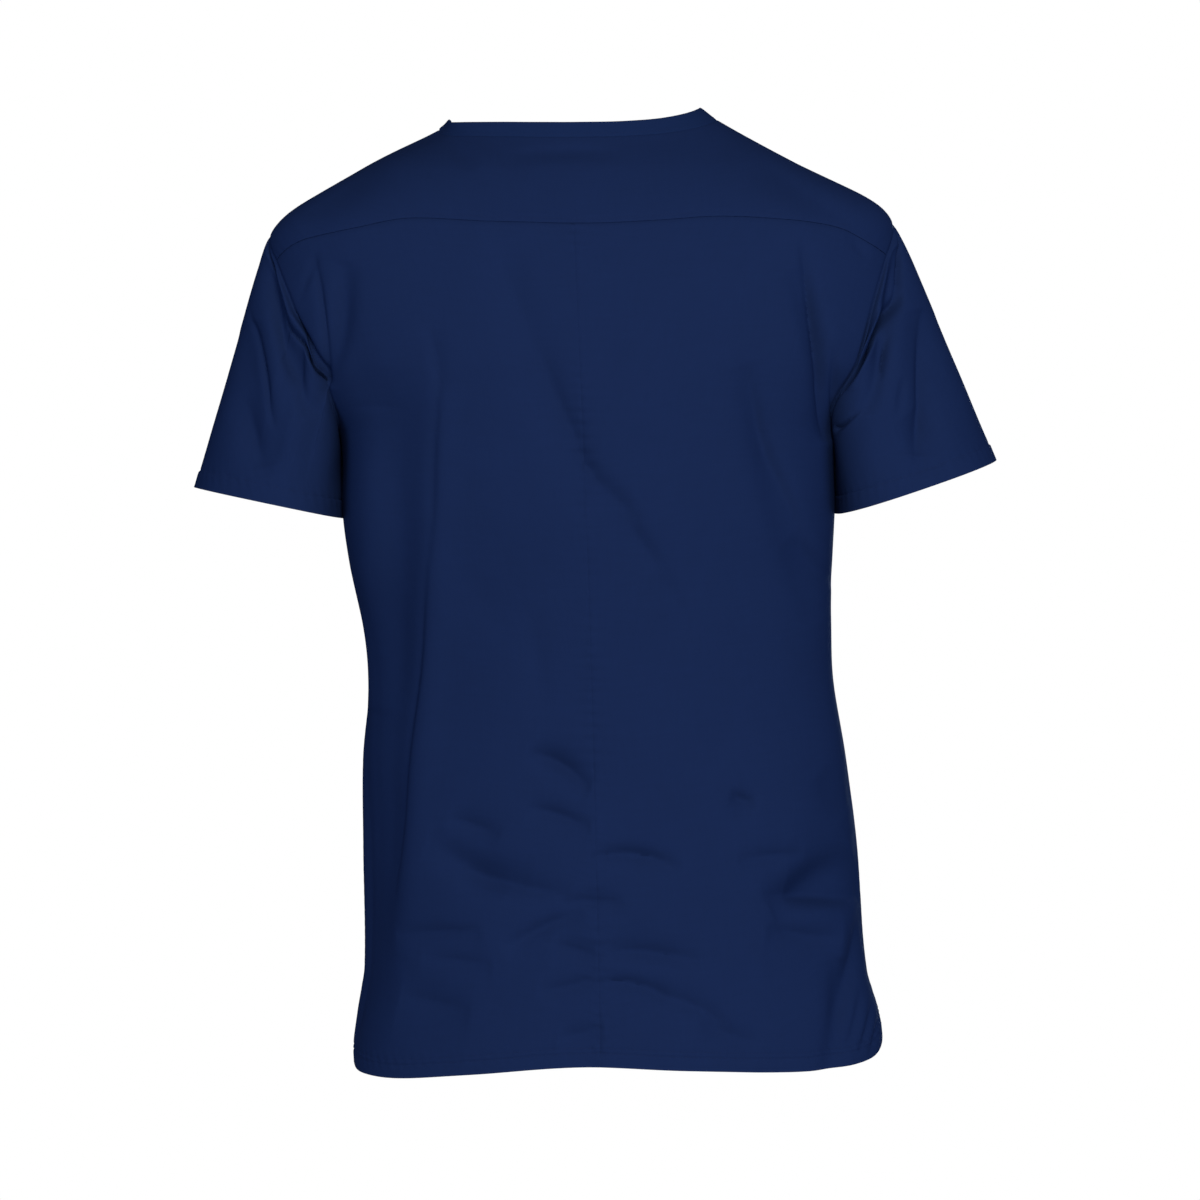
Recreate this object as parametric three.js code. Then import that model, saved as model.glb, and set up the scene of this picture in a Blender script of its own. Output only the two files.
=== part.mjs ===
// A short-sleeved medical scrub top in its worn, hollow form: a V neck with a narrow band, a back
// yoke carried over the shoulders, two back panels sewn at a centre seam, a plain front, set-in
// sleeves, turned hems and side vents.
//
// Millimetres, +Z up. The wearer faces +Y with the right arm at +X, so the back faces -Y.
// The origin is where the wearer's shoulders hold the top: midway between the two ends of the
// neck opening, level with the neck edge at centre back.

import * as THREE from 'three';

// Driving dimensions.
const CLOTH = 1.5;
const BAND_CLOTH = 2;
const SEAM_GAP = 0.3;
const HEM_DEPTH = 15;
const HEM_RISE = 0.8;
const NECKBAND_WIDTH = 12;
const V_NECK_DEPTH = 150;
const SHOULDER_LEVEL = 75;
const UNDERARM_LEVEL = 240;
const VENT_LEVEL = 655;
const SLEEVE_HALF_DEPTH = 76;
const SLEEVE_FORWARD = 5;
const ARMHOLE_GAP = 0.8;

// How full the torso's rings are: 1 is an ellipse, and less is a rounder-cornered box.
const RING_FULLNESS = 0.75;
const NECK_CURVE = { left: 0.4, right: 1.15 };
const BODY_CURVE = 1.5;

// The shoulder seam lies this far forward of the shoulder's ridge, and the armhole is scooped this
// far round from the side, in degrees.
const SEAM_FORWARD = 10;
const BACK_SCOOP = 32;
const FRONT_SCOOP = 30;
const FRONT_VENT = 5;
const BACK_VENT = 1;

// Where the yoke seam meets the armhole, in degrees round it from the shoulder seam.
const YOKE_END = 50;

const RAD = Math.PI / 180;
const { clamp, lerp, smoothstep } = THREE.MathUtils;

// The torso's rings, each keyed by its level: how far it lies below the neck edge at centre back.
// left and right are its ends across, leftHeight and rightHeight the heights there, and back and
// front its depths at the centre. Between shoulder and underarm the ends are where the cloth would
// run to with no armhole.
const RINGS = [
  { level: 0, left: -100.5, right: 96, leftHeight: 10.5, rightHeight: 18.5, back: 60, front: 52 },
  { level: 12, left: -108.5, right: 109, leftHeight: 3.5, rightHeight: 9, back: 66, front: 57 },
  { level: 40, left: -169, right: 171, leftHeight: -29.5, rightHeight: -26, back: 90, front: 74 },
  { level: 75, left: -234, right: 240, leftHeight: -73.5, rightHeight: -63, back: 109, front: 90 },
  { level: 110, left: -243, right: 250, leftHeight: -112, rightHeight: -108, back: 121, front: 102 },
  { level: 155, left: -240, right: 250, leftHeight: -155, rightHeight: -155, back: 130, front: 111 },
  { level: 185, left: -228, right: 240, leftHeight: -185, rightHeight: -185, back: 134, front: 115 },
  { level: 212, left: -205, right: 219, leftHeight: -212, rightHeight: -212, back: 135, front: 118 },
  { level: 240, left: -186, right: 203, leftHeight: -240, rightHeight: -240, back: 136, front: 120 },
  { level: 300, left: -183, right: 201, leftHeight: -300, rightHeight: -300, back: 136, front: 122 },
  { level: 340, left: -177, right: 199, leftHeight: -340, rightHeight: -340, back: 132, front: 122 },
  { level: 385, left: -165, right: 198, leftHeight: -385, rightHeight: -385, back: 129, front: 122 },
  { level: 430, left: -162.5, right: 200, leftHeight: -430, rightHeight: -430, back: 127, front: 123 },
  { level: 490, left: -168, right: 210, leftHeight: -490, rightHeight: -490, back: 128, front: 125 },
  { level: 560, left: -168, right: 219, leftHeight: -560, rightHeight: -560, back: 132, front: 127 },
  { level: 655, left: -167, right: 226, leftHeight: -655, rightHeight: -655, back: 137, front: 128 },
  { level: 690, left: -172, right: 235.5, leftHeight: -690, rightHeight: -690, back: 139, front: 128 },
  { level: 715, left: -175, right: 238.5, leftHeight: -715, rightHeight: -715, back: 140, front: 128 },
  { level: 735, left: -174, right: 237, leftHeight: -735, rightHeight: -735, back: 140, front: 128 },
];

// Where the centre-back seam runs across the back.
const CENTRE_SEAM = [
  { level: 0, across: -2 },
  { level: 83, across: -2 },
  { level: 300, across: 7 },
  { level: 500, across: 13 },
  { level: 715, across: 18 },
];

// The yoke seam's level, by degrees round from centre back.
const YOKE_SEAM = [
  { angle: -74, level: 104.5 },
  { angle: -55, level: 92 },
  { angle: -37, level: 84 },
  { angle: -26, level: 78 },
  { angle: -12, level: 81 },
  { angle: 0, level: 82.5 },
  { angle: 12, level: 80.5 },
  { angle: 22, level: 77.5 },
  { angle: 32, level: 80 },
  { angle: 45, level: 85 },
  { angle: 60, level: 97 },
  { angle: 74, level: 104.5 },
];

// The hem's level, by degrees round from centre back. The front hem runs level.
const BACK_HEM = [
  { angle: -90, level: 728 },
  { angle: -74, level: 731 },
  { angle: -54, level: 731 },
  { angle: -30, level: 724.5 },
  { angle: -4, level: 717 },
  { angle: 17, level: 720 },
  { angle: 48, level: 723.5 },
  { angle: 71, level: 719 },
  { angle: 82, level: 711 },
  { angle: 90, level: 700 },
];
const FRONT_HEM_LEVEL = 716;

// The largest folds of front and back, in millimetres. Each runs from one point to the next on a
// view from behind, bowed sideways at its middle. A positive depth is a ridge, a negative one a
// trough, and halfWidth is where it has faded to about a third.
const BACK_FOLDS = [
  { x0: -101, z0: -160, x1: -140, z1: -640, bow: 8, halfWidth: 14, depth: 4 },
  { x0: -141, z0: -190, x1: -160, z1: -690, bow: 5, halfWidth: 20, depth: -9 },
  { x0: -58, z0: -100, x1: 64, z1: -372, bow: -13, halfWidth: 15, depth: -4.5 },
  { x0: 166, z0: -116, x1: 191, z1: -246, bow: 5, halfWidth: 9, depth: -6 },
  { x0: 128, z0: -190, x1: 184, z1: -384, bow: -4, halfWidth: 13, depth: -5 },
  { x0: 218, z0: -568, x1: 148, z1: -604, bow: -4, halfWidth: 15, depth: -8 },
  { x0: -176, z0: -110, x1: -192, z1: -204, bow: 4, halfWidth: 9, depth: -6 },
  { x0: 202, z0: -640, x1: 190, z1: -735, bow: 4, halfWidth: 10, depth: -6 },
  { x0: -114, z0: -550, x1: -36, z1: -576, bow: -6, halfWidth: 12, depth: -3.5 },
];
const FRONT_FOLDS = [
  { x0: -120, z0: -150, x1: -104, z1: -610, bow: -12, halfWidth: 18, depth: -6 },
  { x0: 118, z0: -160, x1: 140, z1: -640, bow: 12, halfWidth: 18, depth: -7 },
  { x0: -168, z0: -110, x1: -186, z1: -226, bow: -5, halfWidth: 10, depth: -6 },
  { x0: 172, z0: -112, x1: 190, z1: -230, bow: 5, halfWidth: 10, depth: -6 },
  { x0: 72, z0: -120, x1: 6, z1: -330, bow: 10, halfWidth: 16, depth: -4 },
  { x0: -60, z0: -190, x1: 26, z1: -420, bow: -8, halfWidth: 15, depth: -3.5 },
];

// Each sleeve: which side it is on, the outer and inner ends of its hem across and up, the slope
// it leaves the shoulder with, and how far its hem hangs lower at the back than at the front.
const SLEEVES = {
  left: { side: -1, outer: [-300, -279], inner: [-184.2, -303.5], slope: [-0.5, -0.87], backDrop: 1.5 },
  right: { side: 1, outer: [328.5, -257], inner: [203, -299], slope: [0.62, -0.78], backDrop: 4.5 },
};

// The sleeves' folds: round is degrees from the crown towards the back, or the front where
// negative, and along runs from 0 at the armhole to 1 at the hem.
const SLEEVE_FOLDS = [
  { round0: 26, along0: 0.1, round1: 112, along1: 0.42, bow: 0, halfWidth: 0.08, depth: -7 },
  { round0: 40, along0: 0.04, round1: 116, along1: 0.16, bow: 0.02, halfWidth: 0.06, depth: 3 },
  { round0: 32, along0: 0.4, round1: 88, along1: 0.8, bow: 0.02, halfWidth: 0.11, depth: -6 },
  { round0: -22, along0: 0.08, round1: -126, along1: 0.34, bow: 0.03, halfWidth: 0.08, depth: -9 },
  { round0: -46, along0: 0.3, round1: -74, along1: 0.9, bow: 0, halfWidth: 0.15, depth: -5 },
];

// A smooth curve through one column of a table, held level past its ends.
function tableAt(rows, key, column, at) {
  const last = rows.length - 1;
  let i = 0;
  while (i < last - 1 && at > rows[i + 1][key]) i += 1;
  const slopeBetween = (a, b) => (rows[b][column] - rows[a][column]) / (rows[b][key] - rows[a][key]);
  const slopeAt = (k) => slopeBetween(Math.max(k - 1, 0), Math.min(k + 1, last));
  const span = rows[i + 1][key] - rows[i][key];
  const t = clamp((at - rows[i][key]) / span, 0, 1);
  const t2 = t * t;
  const t3 = t2 * t;
  return (2 * t3 - 3 * t2 + 1) * rows[i][column]
    + (t3 - 2 * t2 + t) * span * slopeAt(i)
    + (3 * t2 - 2 * t3) * rows[i + 1][column]
    + (t3 - t2) * span * slopeAt(i + 1);
}

// A fold's height at (u, v), where the fold runs from (u0, v0) to (u1, v1) in the same units.
function foldHeight(u, v, fold) {
  const du = fold.u1 - fold.u0;
  const dv = fold.v1 - fold.v0;
  const length = Math.hypot(du, dv);
  const along = ((u - fold.u0) * du + (v - fold.v0) * dv) / (length * length);
  const taper = Math.sin(Math.PI * clamp(along, 0, 1));
  const aside = ((u - fold.u0) * dv - (v - fold.v0) * du) / length + fold.bow * taper;
  return fold.depth * Math.sqrt(taper) * Math.exp(-((aside / fold.halfWidth) ** 2));
}

function torsoFolds(x, z, isBack) {
  const folds = isBack ? BACK_FOLDS : FRONT_FOLDS;
  const height = (f) => foldHeight(x, z, { ...f, u0: f.x0, v0: f.z0, u1: f.x1, v1: f.z1 });
  return folds.reduce((sum, fold) => sum + height(fold), 0);
}

// A point on the torso's smooth form. The angle runs round from centre back: 90 degrees is the
// right side and 180 centre front.
function torsoForm(angle, level) {
  const ring = (column) => tableAt(RINGS, 'level', column, level);
  const left = ring('left');
  const right = ring('right');
  const side = Math.sin(angle);
  const across = Math.cos(angle);
  const depth = across > 0 ? -ring('back') : ring('front');
  const sideHeight = lerp(ring('leftHeight'), ring('rightHeight'), (1 + side) / 2);
  const neckCurve = lerp(NECK_CURVE.left, NECK_CURVE.right, (1 + side) / 2);
  const curve = lerp(neckCurve, BODY_CURVE, smoothstep(level, NECKBAND_WIDTH, SHOULDER_LEVEL));
  const x = (left + right) / 2 + (right - left) / 2 * side;
  const y = depth * Math.abs(across) ** RING_FULLNESS;
  const z = lerp(sideHeight, -level, Math.abs(across) ** curve);
  return new THREE.Vector3(x, y, z);
}

// The way out of the torso's form at a point.
function torsoNormal(angle, level) {
  const turn = 0.02;
  const drop = 2;
  const round = torsoForm(angle + turn, level).sub(torsoForm(angle - turn, level));
  const down = torsoForm(angle, level + drop).sub(torsoForm(angle, level - drop));
  return down.cross(round).normalize();
}

// The torso's outer cloth: its form with the folds.
function torsoPoint(angle, level) {
  const point = torsoForm(angle, level);
  const sideFade = smoothstep(Math.abs(Math.cos(angle)), 0, 0.25);
  const height = sideFade * torsoFolds(point.x, point.z, Math.cos(angle) > 0);
  return point.addScaledVector(torsoNormal(angle, level), height);
}

// How far down the armhole a level lies, 0 at the shoulder and 1 at the underarm. Levels within a
// seam's gap of the shoulder count as the shoulder, so that both sides of its seam end together.
function armholeShare(level) {
  const top = SHOULDER_LEVEL + SEAM_GAP;
  return clamp((level - top) / (UNDERARM_LEVEL - top), 0, 1);
}

// The level of a point on the armhole, by degrees round it from the shoulder seam.
function armholeLevel(round) {
  return lerp(SHOULDER_LEVEL, UNDERARM_LEVEL, (1 - Math.cos(round * RAD)) / 2);
}

// Where a half's side edge lies at a level, in degrees round from that half's centre: along the
// shoulder seam, round the armhole and down the side seam to the vent.
function sideEdge(level, atShoulder, scoop, vent) {
  const share = armholeShare(level);
  const opening = vent * smoothstep(level, VENT_LEVEL, VENT_LEVEL + 60);
  return lerp(atShoulder, 90, share) - scoop * 2 * Math.sqrt(share * (1 - share)) - opening;
}
const backEdge = (level) => sideEdge(level, 90 + SEAM_FORWARD, BACK_SCOOP, BACK_VENT) * RAD;
const frontEdge = (level) => sideEdge(level, 90 - SEAM_FORWARD, FRONT_SCOOP, FRONT_VENT) * RAD;

// Half a seam's gap at a point, as an angle round the ring there.
function halfGap(angle, level) {
  const turn = 0.02;
  const arc = torsoForm(angle + turn, level).distanceTo(torsoForm(angle - turn, level));
  return SEAM_GAP / 2 / (arc / (2 * turn));
}

// The angle of the centre-back seam at a level.
function seamAngle(level) {
  const left = tableAt(RINGS, 'level', 'left', level);
  const right = tableAt(RINGS, 'level', 'right', level);
  const across = tableAt(CENTRE_SEAM, 'level', 'across', level);
  return Math.asin((across - (left + right) / 2) / ((right - left) / 2));
}

// The angle of a column of the back, from -1 at its left edge over 0 at the centre seam to 1.
// Columns run with the grain near the centre, and bend to follow the armhole near the edge.
function backAngle(column, level) {
  const edge = backEdge(level);
  const side = Math.sign(column) * 90 * RAD;
  const cutAway = Math.sign(column) * (edge - halfGap(edge, level)) - side;
  return lerp(seamAngle(level), side, Math.abs(column)) + cutAway * column ** 2;
}

function frontAngle(column, level) {
  const edge = frontEdge(level);
  const side = 90 * RAD;
  const cutAway = edge - halfGap(edge, level) - side;
  return Math.PI - column * side - Math.sign(column) * cutAway * column ** 2;
}

// The level of the V neckline at a column of the front. The line is straight from the neck end of
// the shoulder seam, at topLevel, to the V's point.
function neckLevel(column, topLevel, pointHeight) {
  const corner = torsoForm(frontAngle(Math.sign(column) || 1, topLevel), topLevel);
  let high = topLevel;
  let low = -pointHeight;
  for (let step = 0; step < 40; step += 1) {
    const level = (high + low) / 2;
    const point = torsoForm(frontAngle(column, level), level);
    const share = clamp(Math.abs(point.x / corner.x), 0, 1);
    if (point.z > lerp(pointHeight, corner.z, share)) high = level;
    else low = level;
  }
  return (high + low) / 2;
}
const outerNeckLevel = (column) => neckLevel(column, NECKBAND_WIDTH, -V_NECK_DEPTH);
const innerNeckLevel = (column) => neckLevel(column, 0, -V_NECK_DEPTH + NECKBAND_WIDTH * 1.7);

function yokeSeamLevel(column) {
  const edge = backEdge(armholeLevel(YOKE_END));
  return tableAt(YOKE_SEAM, 'angle', 'level', column * edge / RAD);
}

const backHemLevel = (column) => tableAt(BACK_HEM, 'angle', 'level', column * 90);

// A closed wall of cloth. outer and inner are the same grid of points, rows of columns, on its two
// faces. A grid that closes on itself joins its last column to its first.
function wall(name, material, outer, inner, closed = false) {
  const rows = outer.length;
  const columns = outer[0].length;
  const points = [...outer.flat(), ...inner.flat()];
  const outerAt = (r, c) => r * columns + c % columns;
  const innerAt = (r, c) => rows * columns + outerAt(r, c);
  const triangles = [];
  const quad = (a, b, c, d) => triangles.push(a, b, c, a, c, d);
  const spans = closed ? columns : columns - 1;
  for (let c = 0; c < spans; c += 1) {
    for (let r = 0; r < rows - 1; r += 1) {
      quad(outerAt(r, c), outerAt(r + 1, c), outerAt(r + 1, c + 1), outerAt(r, c + 1));
      quad(innerAt(r, c), innerAt(r, c + 1), innerAt(r + 1, c + 1), innerAt(r + 1, c));
    }
    quad(outerAt(0, c), outerAt(0, c + 1), innerAt(0, c + 1), innerAt(0, c));
    const end = rows - 1;
    quad(outerAt(end, c), innerAt(end, c), innerAt(end, c + 1), outerAt(end, c + 1));
  }
  for (let r = 0; r < rows - 1 && !closed; r += 1) {
    const end = columns - 1;
    quad(outerAt(r, 0), innerAt(r, 0), innerAt(r + 1, 0), outerAt(r + 1, 0));
    quad(outerAt(r, end), outerAt(r + 1, end), innerAt(r + 1, end), innerAt(r, end));
  }
  const geometry = new THREE.BufferGeometry();
  const places = points.flatMap((p) => p.toArray());
  geometry.setAttribute('position', new THREE.Float32BufferAttribute(places, 3));
  geometry.setIndex(triangles);
  geometry.computeVertexNormals();
  const mesh = new THREE.Mesh(geometry, material);
  mesh.name = name;
  return mesh;
}

// A wall over a patch of the torso. angleAt gives a column's angle at a level, and levelsOf a
// column's levels from top to bottom. The last hemRows rows lie on the turned hem.
function torsoWall(name, material, columns, angleAt, levelsOf, hemRows = 0) {
  const grid = columns.map((column) => levelsOf(column).map((level, row, all) => {
    const angle = angleAt(column, level);
    const rise = row >= all.length - hemRows ? HEM_RISE : 0;
    const normal = torsoNormal(angle, level);
    const outer = torsoPoint(angle, level);
    return {
      outer: outer.clone().addScaledVector(normal, rise),
      inner: outer.addScaledVector(normal, -CLOTH),
    };
  }));
  const rowsOf = (face) => grid[0].map((_, row) => grid.map((cells) => cells[row][face]));
  return wall(name, material, rowsOf('outer'), rowsOf('inner'));
}

function spread(from, to, steps) {
  return Array.from({ length: steps + 1 }, (_, i) => lerp(from, to, i / steps));
}

// The levels of a column below the underarm: down to the vent, on to the hem's fold and over it.
function skirtLevels(hemLevel, steps) {
  const fold = hemLevel - HEM_DEPTH;
  return [
    ...spread(UNDERARM_LEVEL, VENT_LEVEL, steps).slice(1),
    ...spread(VENT_LEVEL, fold - 0.8, 2).slice(1),
    fold,
    hemLevel,
  ];
}

const navy = new THREE.MeshStandardMaterial({ color: 0x1a2749, roughness: 0.86, metalness: 0 });
const navyBand = new THREE.MeshStandardMaterial({ color: 0x17234a, roughness: 0.84, metalness: 0 });

// How finely the panels are divided.
const BACK_COLUMNS = 17;
const FRONT_COLUMNS = 26;
const SKIRT_STEPS = 23;
const SLEEVE_STEPS = 11;
const YOKE_ARMHOLE = spread(0, YOKE_END, 4);
const BACK_ARMHOLE = spread(YOKE_END, 180, 10);
const FRONT_ARMHOLE = spread(0, 180, 13);
const SHOULDER_STEPS = 4;

const yokeColumns = spread(-1, 1, 2 * BACK_COLUMNS);
const frontColumns = spread(-1, 1, FRONT_COLUMNS);

// The yoke: from the back neck over the shoulders to the yoke seam.
function yoke() {
  const edgeLevels = [
    ...spread(NECKBAND_WIDTH, SHOULDER_LEVEL, SHOULDER_STEPS),
    ...YOKE_ARMHOLE.slice(1).map(armholeLevel),
  ];
  const top = edgeLevels[0];
  const bottom = edgeLevels.at(-1);
  const levelsOf = (column) => edgeLevels.map((level) => {
    const share = (level - top) / (bottom - top);
    return lerp(top + SEAM_GAP / 2, yokeSeamLevel(column) - SEAM_GAP / 2, share);
  });
  return torsoWall('back_yoke', navy, yokeColumns, backAngle, levelsOf);
}

// One half of the back, from the yoke seam to the hem.
function backPanel(name, side) {
  const columns = spread(0, side, BACK_COLUMNS);
  if (side < 0) columns.reverse();
  const edgeLevels = BACK_ARMHOLE.map(armholeLevel);
  const levelsOf = (column) => {
    const top = yokeSeamLevel(column) + SEAM_GAP / 2;
    const upper = edgeLevels.map((level) => {
      const share = (level - edgeLevels[0]) / (UNDERARM_LEVEL - edgeLevels[0]);
      return lerp(top, UNDERARM_LEVEL, share);
    });
    return [...upper, ...skirtLevels(backHemLevel(column), SKIRT_STEPS)];
  };
  const angleAt = (column, level) => {
    const seam = seamAngle(level);
    const inset = side * halfGap(seam, level) * (1 - Math.abs(column));
    return backAngle(column, level) + inset;
  };
  return torsoWall(name, navy, columns, angleAt, levelsOf, 2);
}

// The front, from the V neckline and the shoulder seams to the hem.
function front() {
  const edgeLevels = [
    ...spread(NECKBAND_WIDTH, SHOULDER_LEVEL, SHOULDER_STEPS),
    ...FRONT_ARMHOLE.slice(1).map(armholeLevel),
  ];
  const levelsOf = (column) => {
    const top = outerNeckLevel(column) + SEAM_GAP;
    const upper = edgeLevels.map((level) => {
      const share = (level - edgeLevels[0]) / (UNDERARM_LEVEL - edgeLevels[0]);
      return lerp(top, UNDERARM_LEVEL, share);
    });
    return [...upper, ...skirtLevels(FRONT_HEM_LEVEL, SKIRT_STEPS)];
  };
  return torsoWall('front', navy, [...frontColumns].reverse(), frontAngle, levelsOf, 2);
}

// The neckband: a closed strip round the neck opening, over the back neck and down both sides of
// the V.
function neckband() {
  const edges = [
    ...yokeColumns.map((column) => {
      const at = (level) => [backAngle(column, level), level];
      return { base: at(NECKBAND_WIDTH - SEAM_GAP / 2), top: at(0) };
    }),
    ...[...frontColumns].reverse().slice(1, -1).map((column) => {
      const at = (level) => [frontAngle(column, level), level];
      return { base: at(outerNeckLevel(column) - SEAM_GAP), top: at(innerNeckLevel(column)) };
    }),
  ];
  const rowAt = (share, offset) => edges.map(({ base, top }) => {
    const angle = lerp(top[0], base[0], share);
    const level = lerp(top[1], base[1], share);
    return torsoPoint(angle, level).addScaledVector(torsoNormal(angle, level), offset);
  });
  const extra = (BAND_CLOTH - CLOTH) / 2;
  const shares = [0, 0.5, 1];
  const outer = shares.map((share) => rowAt(share, extra));
  const inner = shares.map((share) => rowAt(share, extra - BAND_CLOTH));
  return wall('neckband', navyBand, outer, inner, true);
}

// The armhole's points, round from the shoulder seam over the back to the underarm and up the
// front, each with the way out of the torso there and its place round the sleeve: degrees from
// the crown, back positive.
function armholeLoop(side) {
  const seamPlace = -15;
  const onBack = [...YOKE_ARMHOLE, ...BACK_ARMHOLE.slice(1)].map((round) => {
    const level = armholeLevel(round);
    const place = lerp(seamPlace, 180, round / 180);
    const angle = side * backEdge(level);
    return { point: torsoPoint(angle, level), normal: torsoNormal(angle, level), place };
  });
  const onFront = FRONT_ARMHOLE.slice(1, -1).reverse().map((round) => {
    const level = armholeLevel(round);
    const place = lerp(seamPlace, -180, round / 180);
    const angle = Math.PI - side * frontEdge(level);
    return { point: torsoPoint(angle, level), normal: torsoNormal(angle, level), place };
  });
  return [...onBack, ...onFront];
}

function sleeveFolds(place, along) {
  const scale = 1 / 180;
  const height = (f) => foldHeight(place * scale, along, {
    ...f, u0: f.round0 * scale, v0: f.along0, u1: f.round1 * scale, v1: f.along1,
  });
  return SLEEVE_FOLDS.reduce((sum, fold) => sum + height(fold), 0);
}

// One sleeve: from the armhole it leaves along the shoulder's slope at the crown and downwards at
// the underarm, and runs straight into its hem. Its first edge meets the yoke's face at the crown,
// and hangs outside the side seam at the underarm.
function sleeve(name, { side, outer, inner, slope, backDrop }) {
  const loop = armholeLoop(side);
  const outerEnd = new THREE.Vector3(outer[0], SLEEVE_FORWARD, outer[1]);
  const innerEnd = new THREE.Vector3(inner[0], SLEEVE_FORWARD, inner[1]);
  const centre = outerEnd.clone().lerp(innerEnd, 0.5);
  const toCrown = outerEnd.clone().sub(centre);
  const toBack = new THREE.Vector3(0, -SLEEVE_HALF_DEPTH, -backDrop);
  const crownWay = new THREE.Vector3(slope[0], 0, slope[1]);
  const underarmWay = new THREE.Vector3(side * 0.12, 0, -0.99);
  const lines = loop.map(({ point, normal, place }) => {
    const turn = place * RAD;
    const crown = (1 + Math.cos(turn)) / 2;
    const start = point.clone().add(new THREE.Vector3(side * ARMHOLE_GAP, 0, 0));
    const end = centre.clone();
    end.addScaledVector(toCrown, Math.cos(turn));
    end.addScaledVector(toBack, Math.sin(turn));
    const length = start.distanceTo(end);
    const startWay = underarmWay.clone().lerp(crownWay, crown ** 2).normalize();
    startWay.y -= 0.35 * Math.sin(turn);
    const endWay = end.clone().sub(start).normalize();
    const lead = lerp(0.35, 0.24, crown) * length;
    return { place, start, end, startWay, endWay, length, lead, crown, seamNormal: normal };
  });
  const formAt = (line, along) => {
    const a = along;
    const point = line.start.clone().multiplyScalar(2 * a ** 3 - 3 * a ** 2 + 1);
    point.addScaledVector(line.startWay, (a ** 3 - 2 * a ** 2 + a) * line.lead);
    point.addScaledVector(line.end, 3 * a ** 2 - 2 * a ** 3);
    return point.addScaledVector(line.endWay, (a ** 3 - a ** 2) * line.length);
  };
  const count = lines.length;
  const wrap = (i) => lines[(i + count) % count];
  const normalAt = (i, along) => {
    const step = 0.03;
    const down = formAt(lines[i], along + step).sub(formAt(lines[i], along - step));
    const round = formAt(wrap(i + 1), along).sub(formAt(wrap(i - 1), along));
    const normal = round.cross(down).multiplyScalar(side).normalize();
    if (along === 0) normal.lerp(lines[i].seamNormal, lines[i].crown).normalize();
    return normal;
  };
  const hemShare = HEM_DEPTH / centre.distanceTo(new THREE.Vector3(side * 225, 0, -150));
  const alongs = [...spread(0, 1 - hemShare - 0.008, SLEEVE_STEPS), 1 - hemShare, 1];
  const faceRows = (offsetOf) => alongs.map((along, row) => lines.map((line, i) => {
    const normal = normalAt(i, along);
    const fade = smoothstep(along, 0, 0.08) * (1 - smoothstep(along, 0.8, 1));
    const height = fade * sleeveFolds(line.place, along) + offsetOf(row);
    return formAt(line, along).addScaledVector(normal, height);
  }));
  const outerRows = faceRows((row) => (row >= alongs.length - 2 ? HEM_RISE : 0));
  const innerRows = faceRows(() => -CLOTH);
  if (side > 0) [outerRows, innerRows].forEach((rows) => rows.forEach((row) => row.reverse()));
  return wall(name, navy, outerRows, innerRows, true);
}

const top = new THREE.Group();
top.add(
  yoke(),
  backPanel('back_left', -1),
  backPanel('back_right', 1),
  front(),
  neckband(),
  sleeve('sleeve_left', SLEEVES.left),
  sleeve('sleeve_right', SLEEVES.right),
);

export default top;
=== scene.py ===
"""The look of a medical scrub top: fine cloth shells with seams, creases and stitching.

The tables and the cloth's own sizes are in millimetres, and points turn to metres where a mesh is
made. The wearer faces +Y with the right arm at +X, so the photographed back faces -Y. A level is a
distance below the neck edge at centre back, and an angle runs round the torso from centre back:
90 degrees is the wearer's right side and 180 centre front.
"""

import logging
import math
from collections.abc import Callable, Sequence
from dataclasses import dataclass, field
from enum import Enum

import bpy
import numpy as np
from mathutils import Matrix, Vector


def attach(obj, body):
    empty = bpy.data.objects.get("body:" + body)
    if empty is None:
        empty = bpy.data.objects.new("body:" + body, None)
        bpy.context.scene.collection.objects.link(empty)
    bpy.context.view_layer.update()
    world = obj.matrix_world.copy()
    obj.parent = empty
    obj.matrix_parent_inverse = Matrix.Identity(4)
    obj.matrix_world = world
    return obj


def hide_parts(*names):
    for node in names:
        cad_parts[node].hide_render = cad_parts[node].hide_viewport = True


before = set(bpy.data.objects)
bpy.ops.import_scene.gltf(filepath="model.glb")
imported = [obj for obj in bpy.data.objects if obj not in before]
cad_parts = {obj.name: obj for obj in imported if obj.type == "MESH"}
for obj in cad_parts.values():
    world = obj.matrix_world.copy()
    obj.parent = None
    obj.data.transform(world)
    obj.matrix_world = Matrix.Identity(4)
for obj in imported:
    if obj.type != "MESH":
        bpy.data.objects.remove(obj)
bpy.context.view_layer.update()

log = logging.getLogger("scrub_top")

MM = 0.001

# The cut, in mm, as in the solids.
HEM_DEPTH = 15.0
NECKBAND_WIDTH = 12.0
V_NECK_DEPTH = 150.0
SHOULDER_LEVEL = 75.0
UNDERARM_LEVEL = 240.0
VENT_LEVEL = 655.0
FRONT_HEM_LEVEL = 716.0
SLEEVE_HALF_DEPTH = 76.0
SLEEVE_FORWARD = 5.0

# The shoulder seam's place forward of the ridge, the armhole's scoop and the vents' opening, in
# degrees, and where the yoke seam meets the armhole.
SEAM_FORWARD = 10.0
BACK_SCOOP = 32.0
FRONT_SCOOP = 30.0
FRONT_VENT = 5.0
BACK_VENT = 1.0
YOKE_END = 50.0

# A crease strays this much less across the cloth than along it.
WANDER_ACROSS = 0.6

# The rings' shape, where the vents start to open, and the halvings that find the neckline.
RING_FULLNESS = 0.75
NECK_CURVE_LEFT = 0.4
NECK_CURVE_RIGHT = 1.15
BODY_CURVE = 1.5
SHOULDER_SNAP = 0.3
VENT_RUN = 60.0
HALVINGS = 40

# The fill lights are a little cooler than the key, as the photo's shaded cloth is.
KEY_COLOUR = (1.0, 0.98, 0.92)
FILL_COLOUR = (0.62, 0.86, 1.22)

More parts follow.
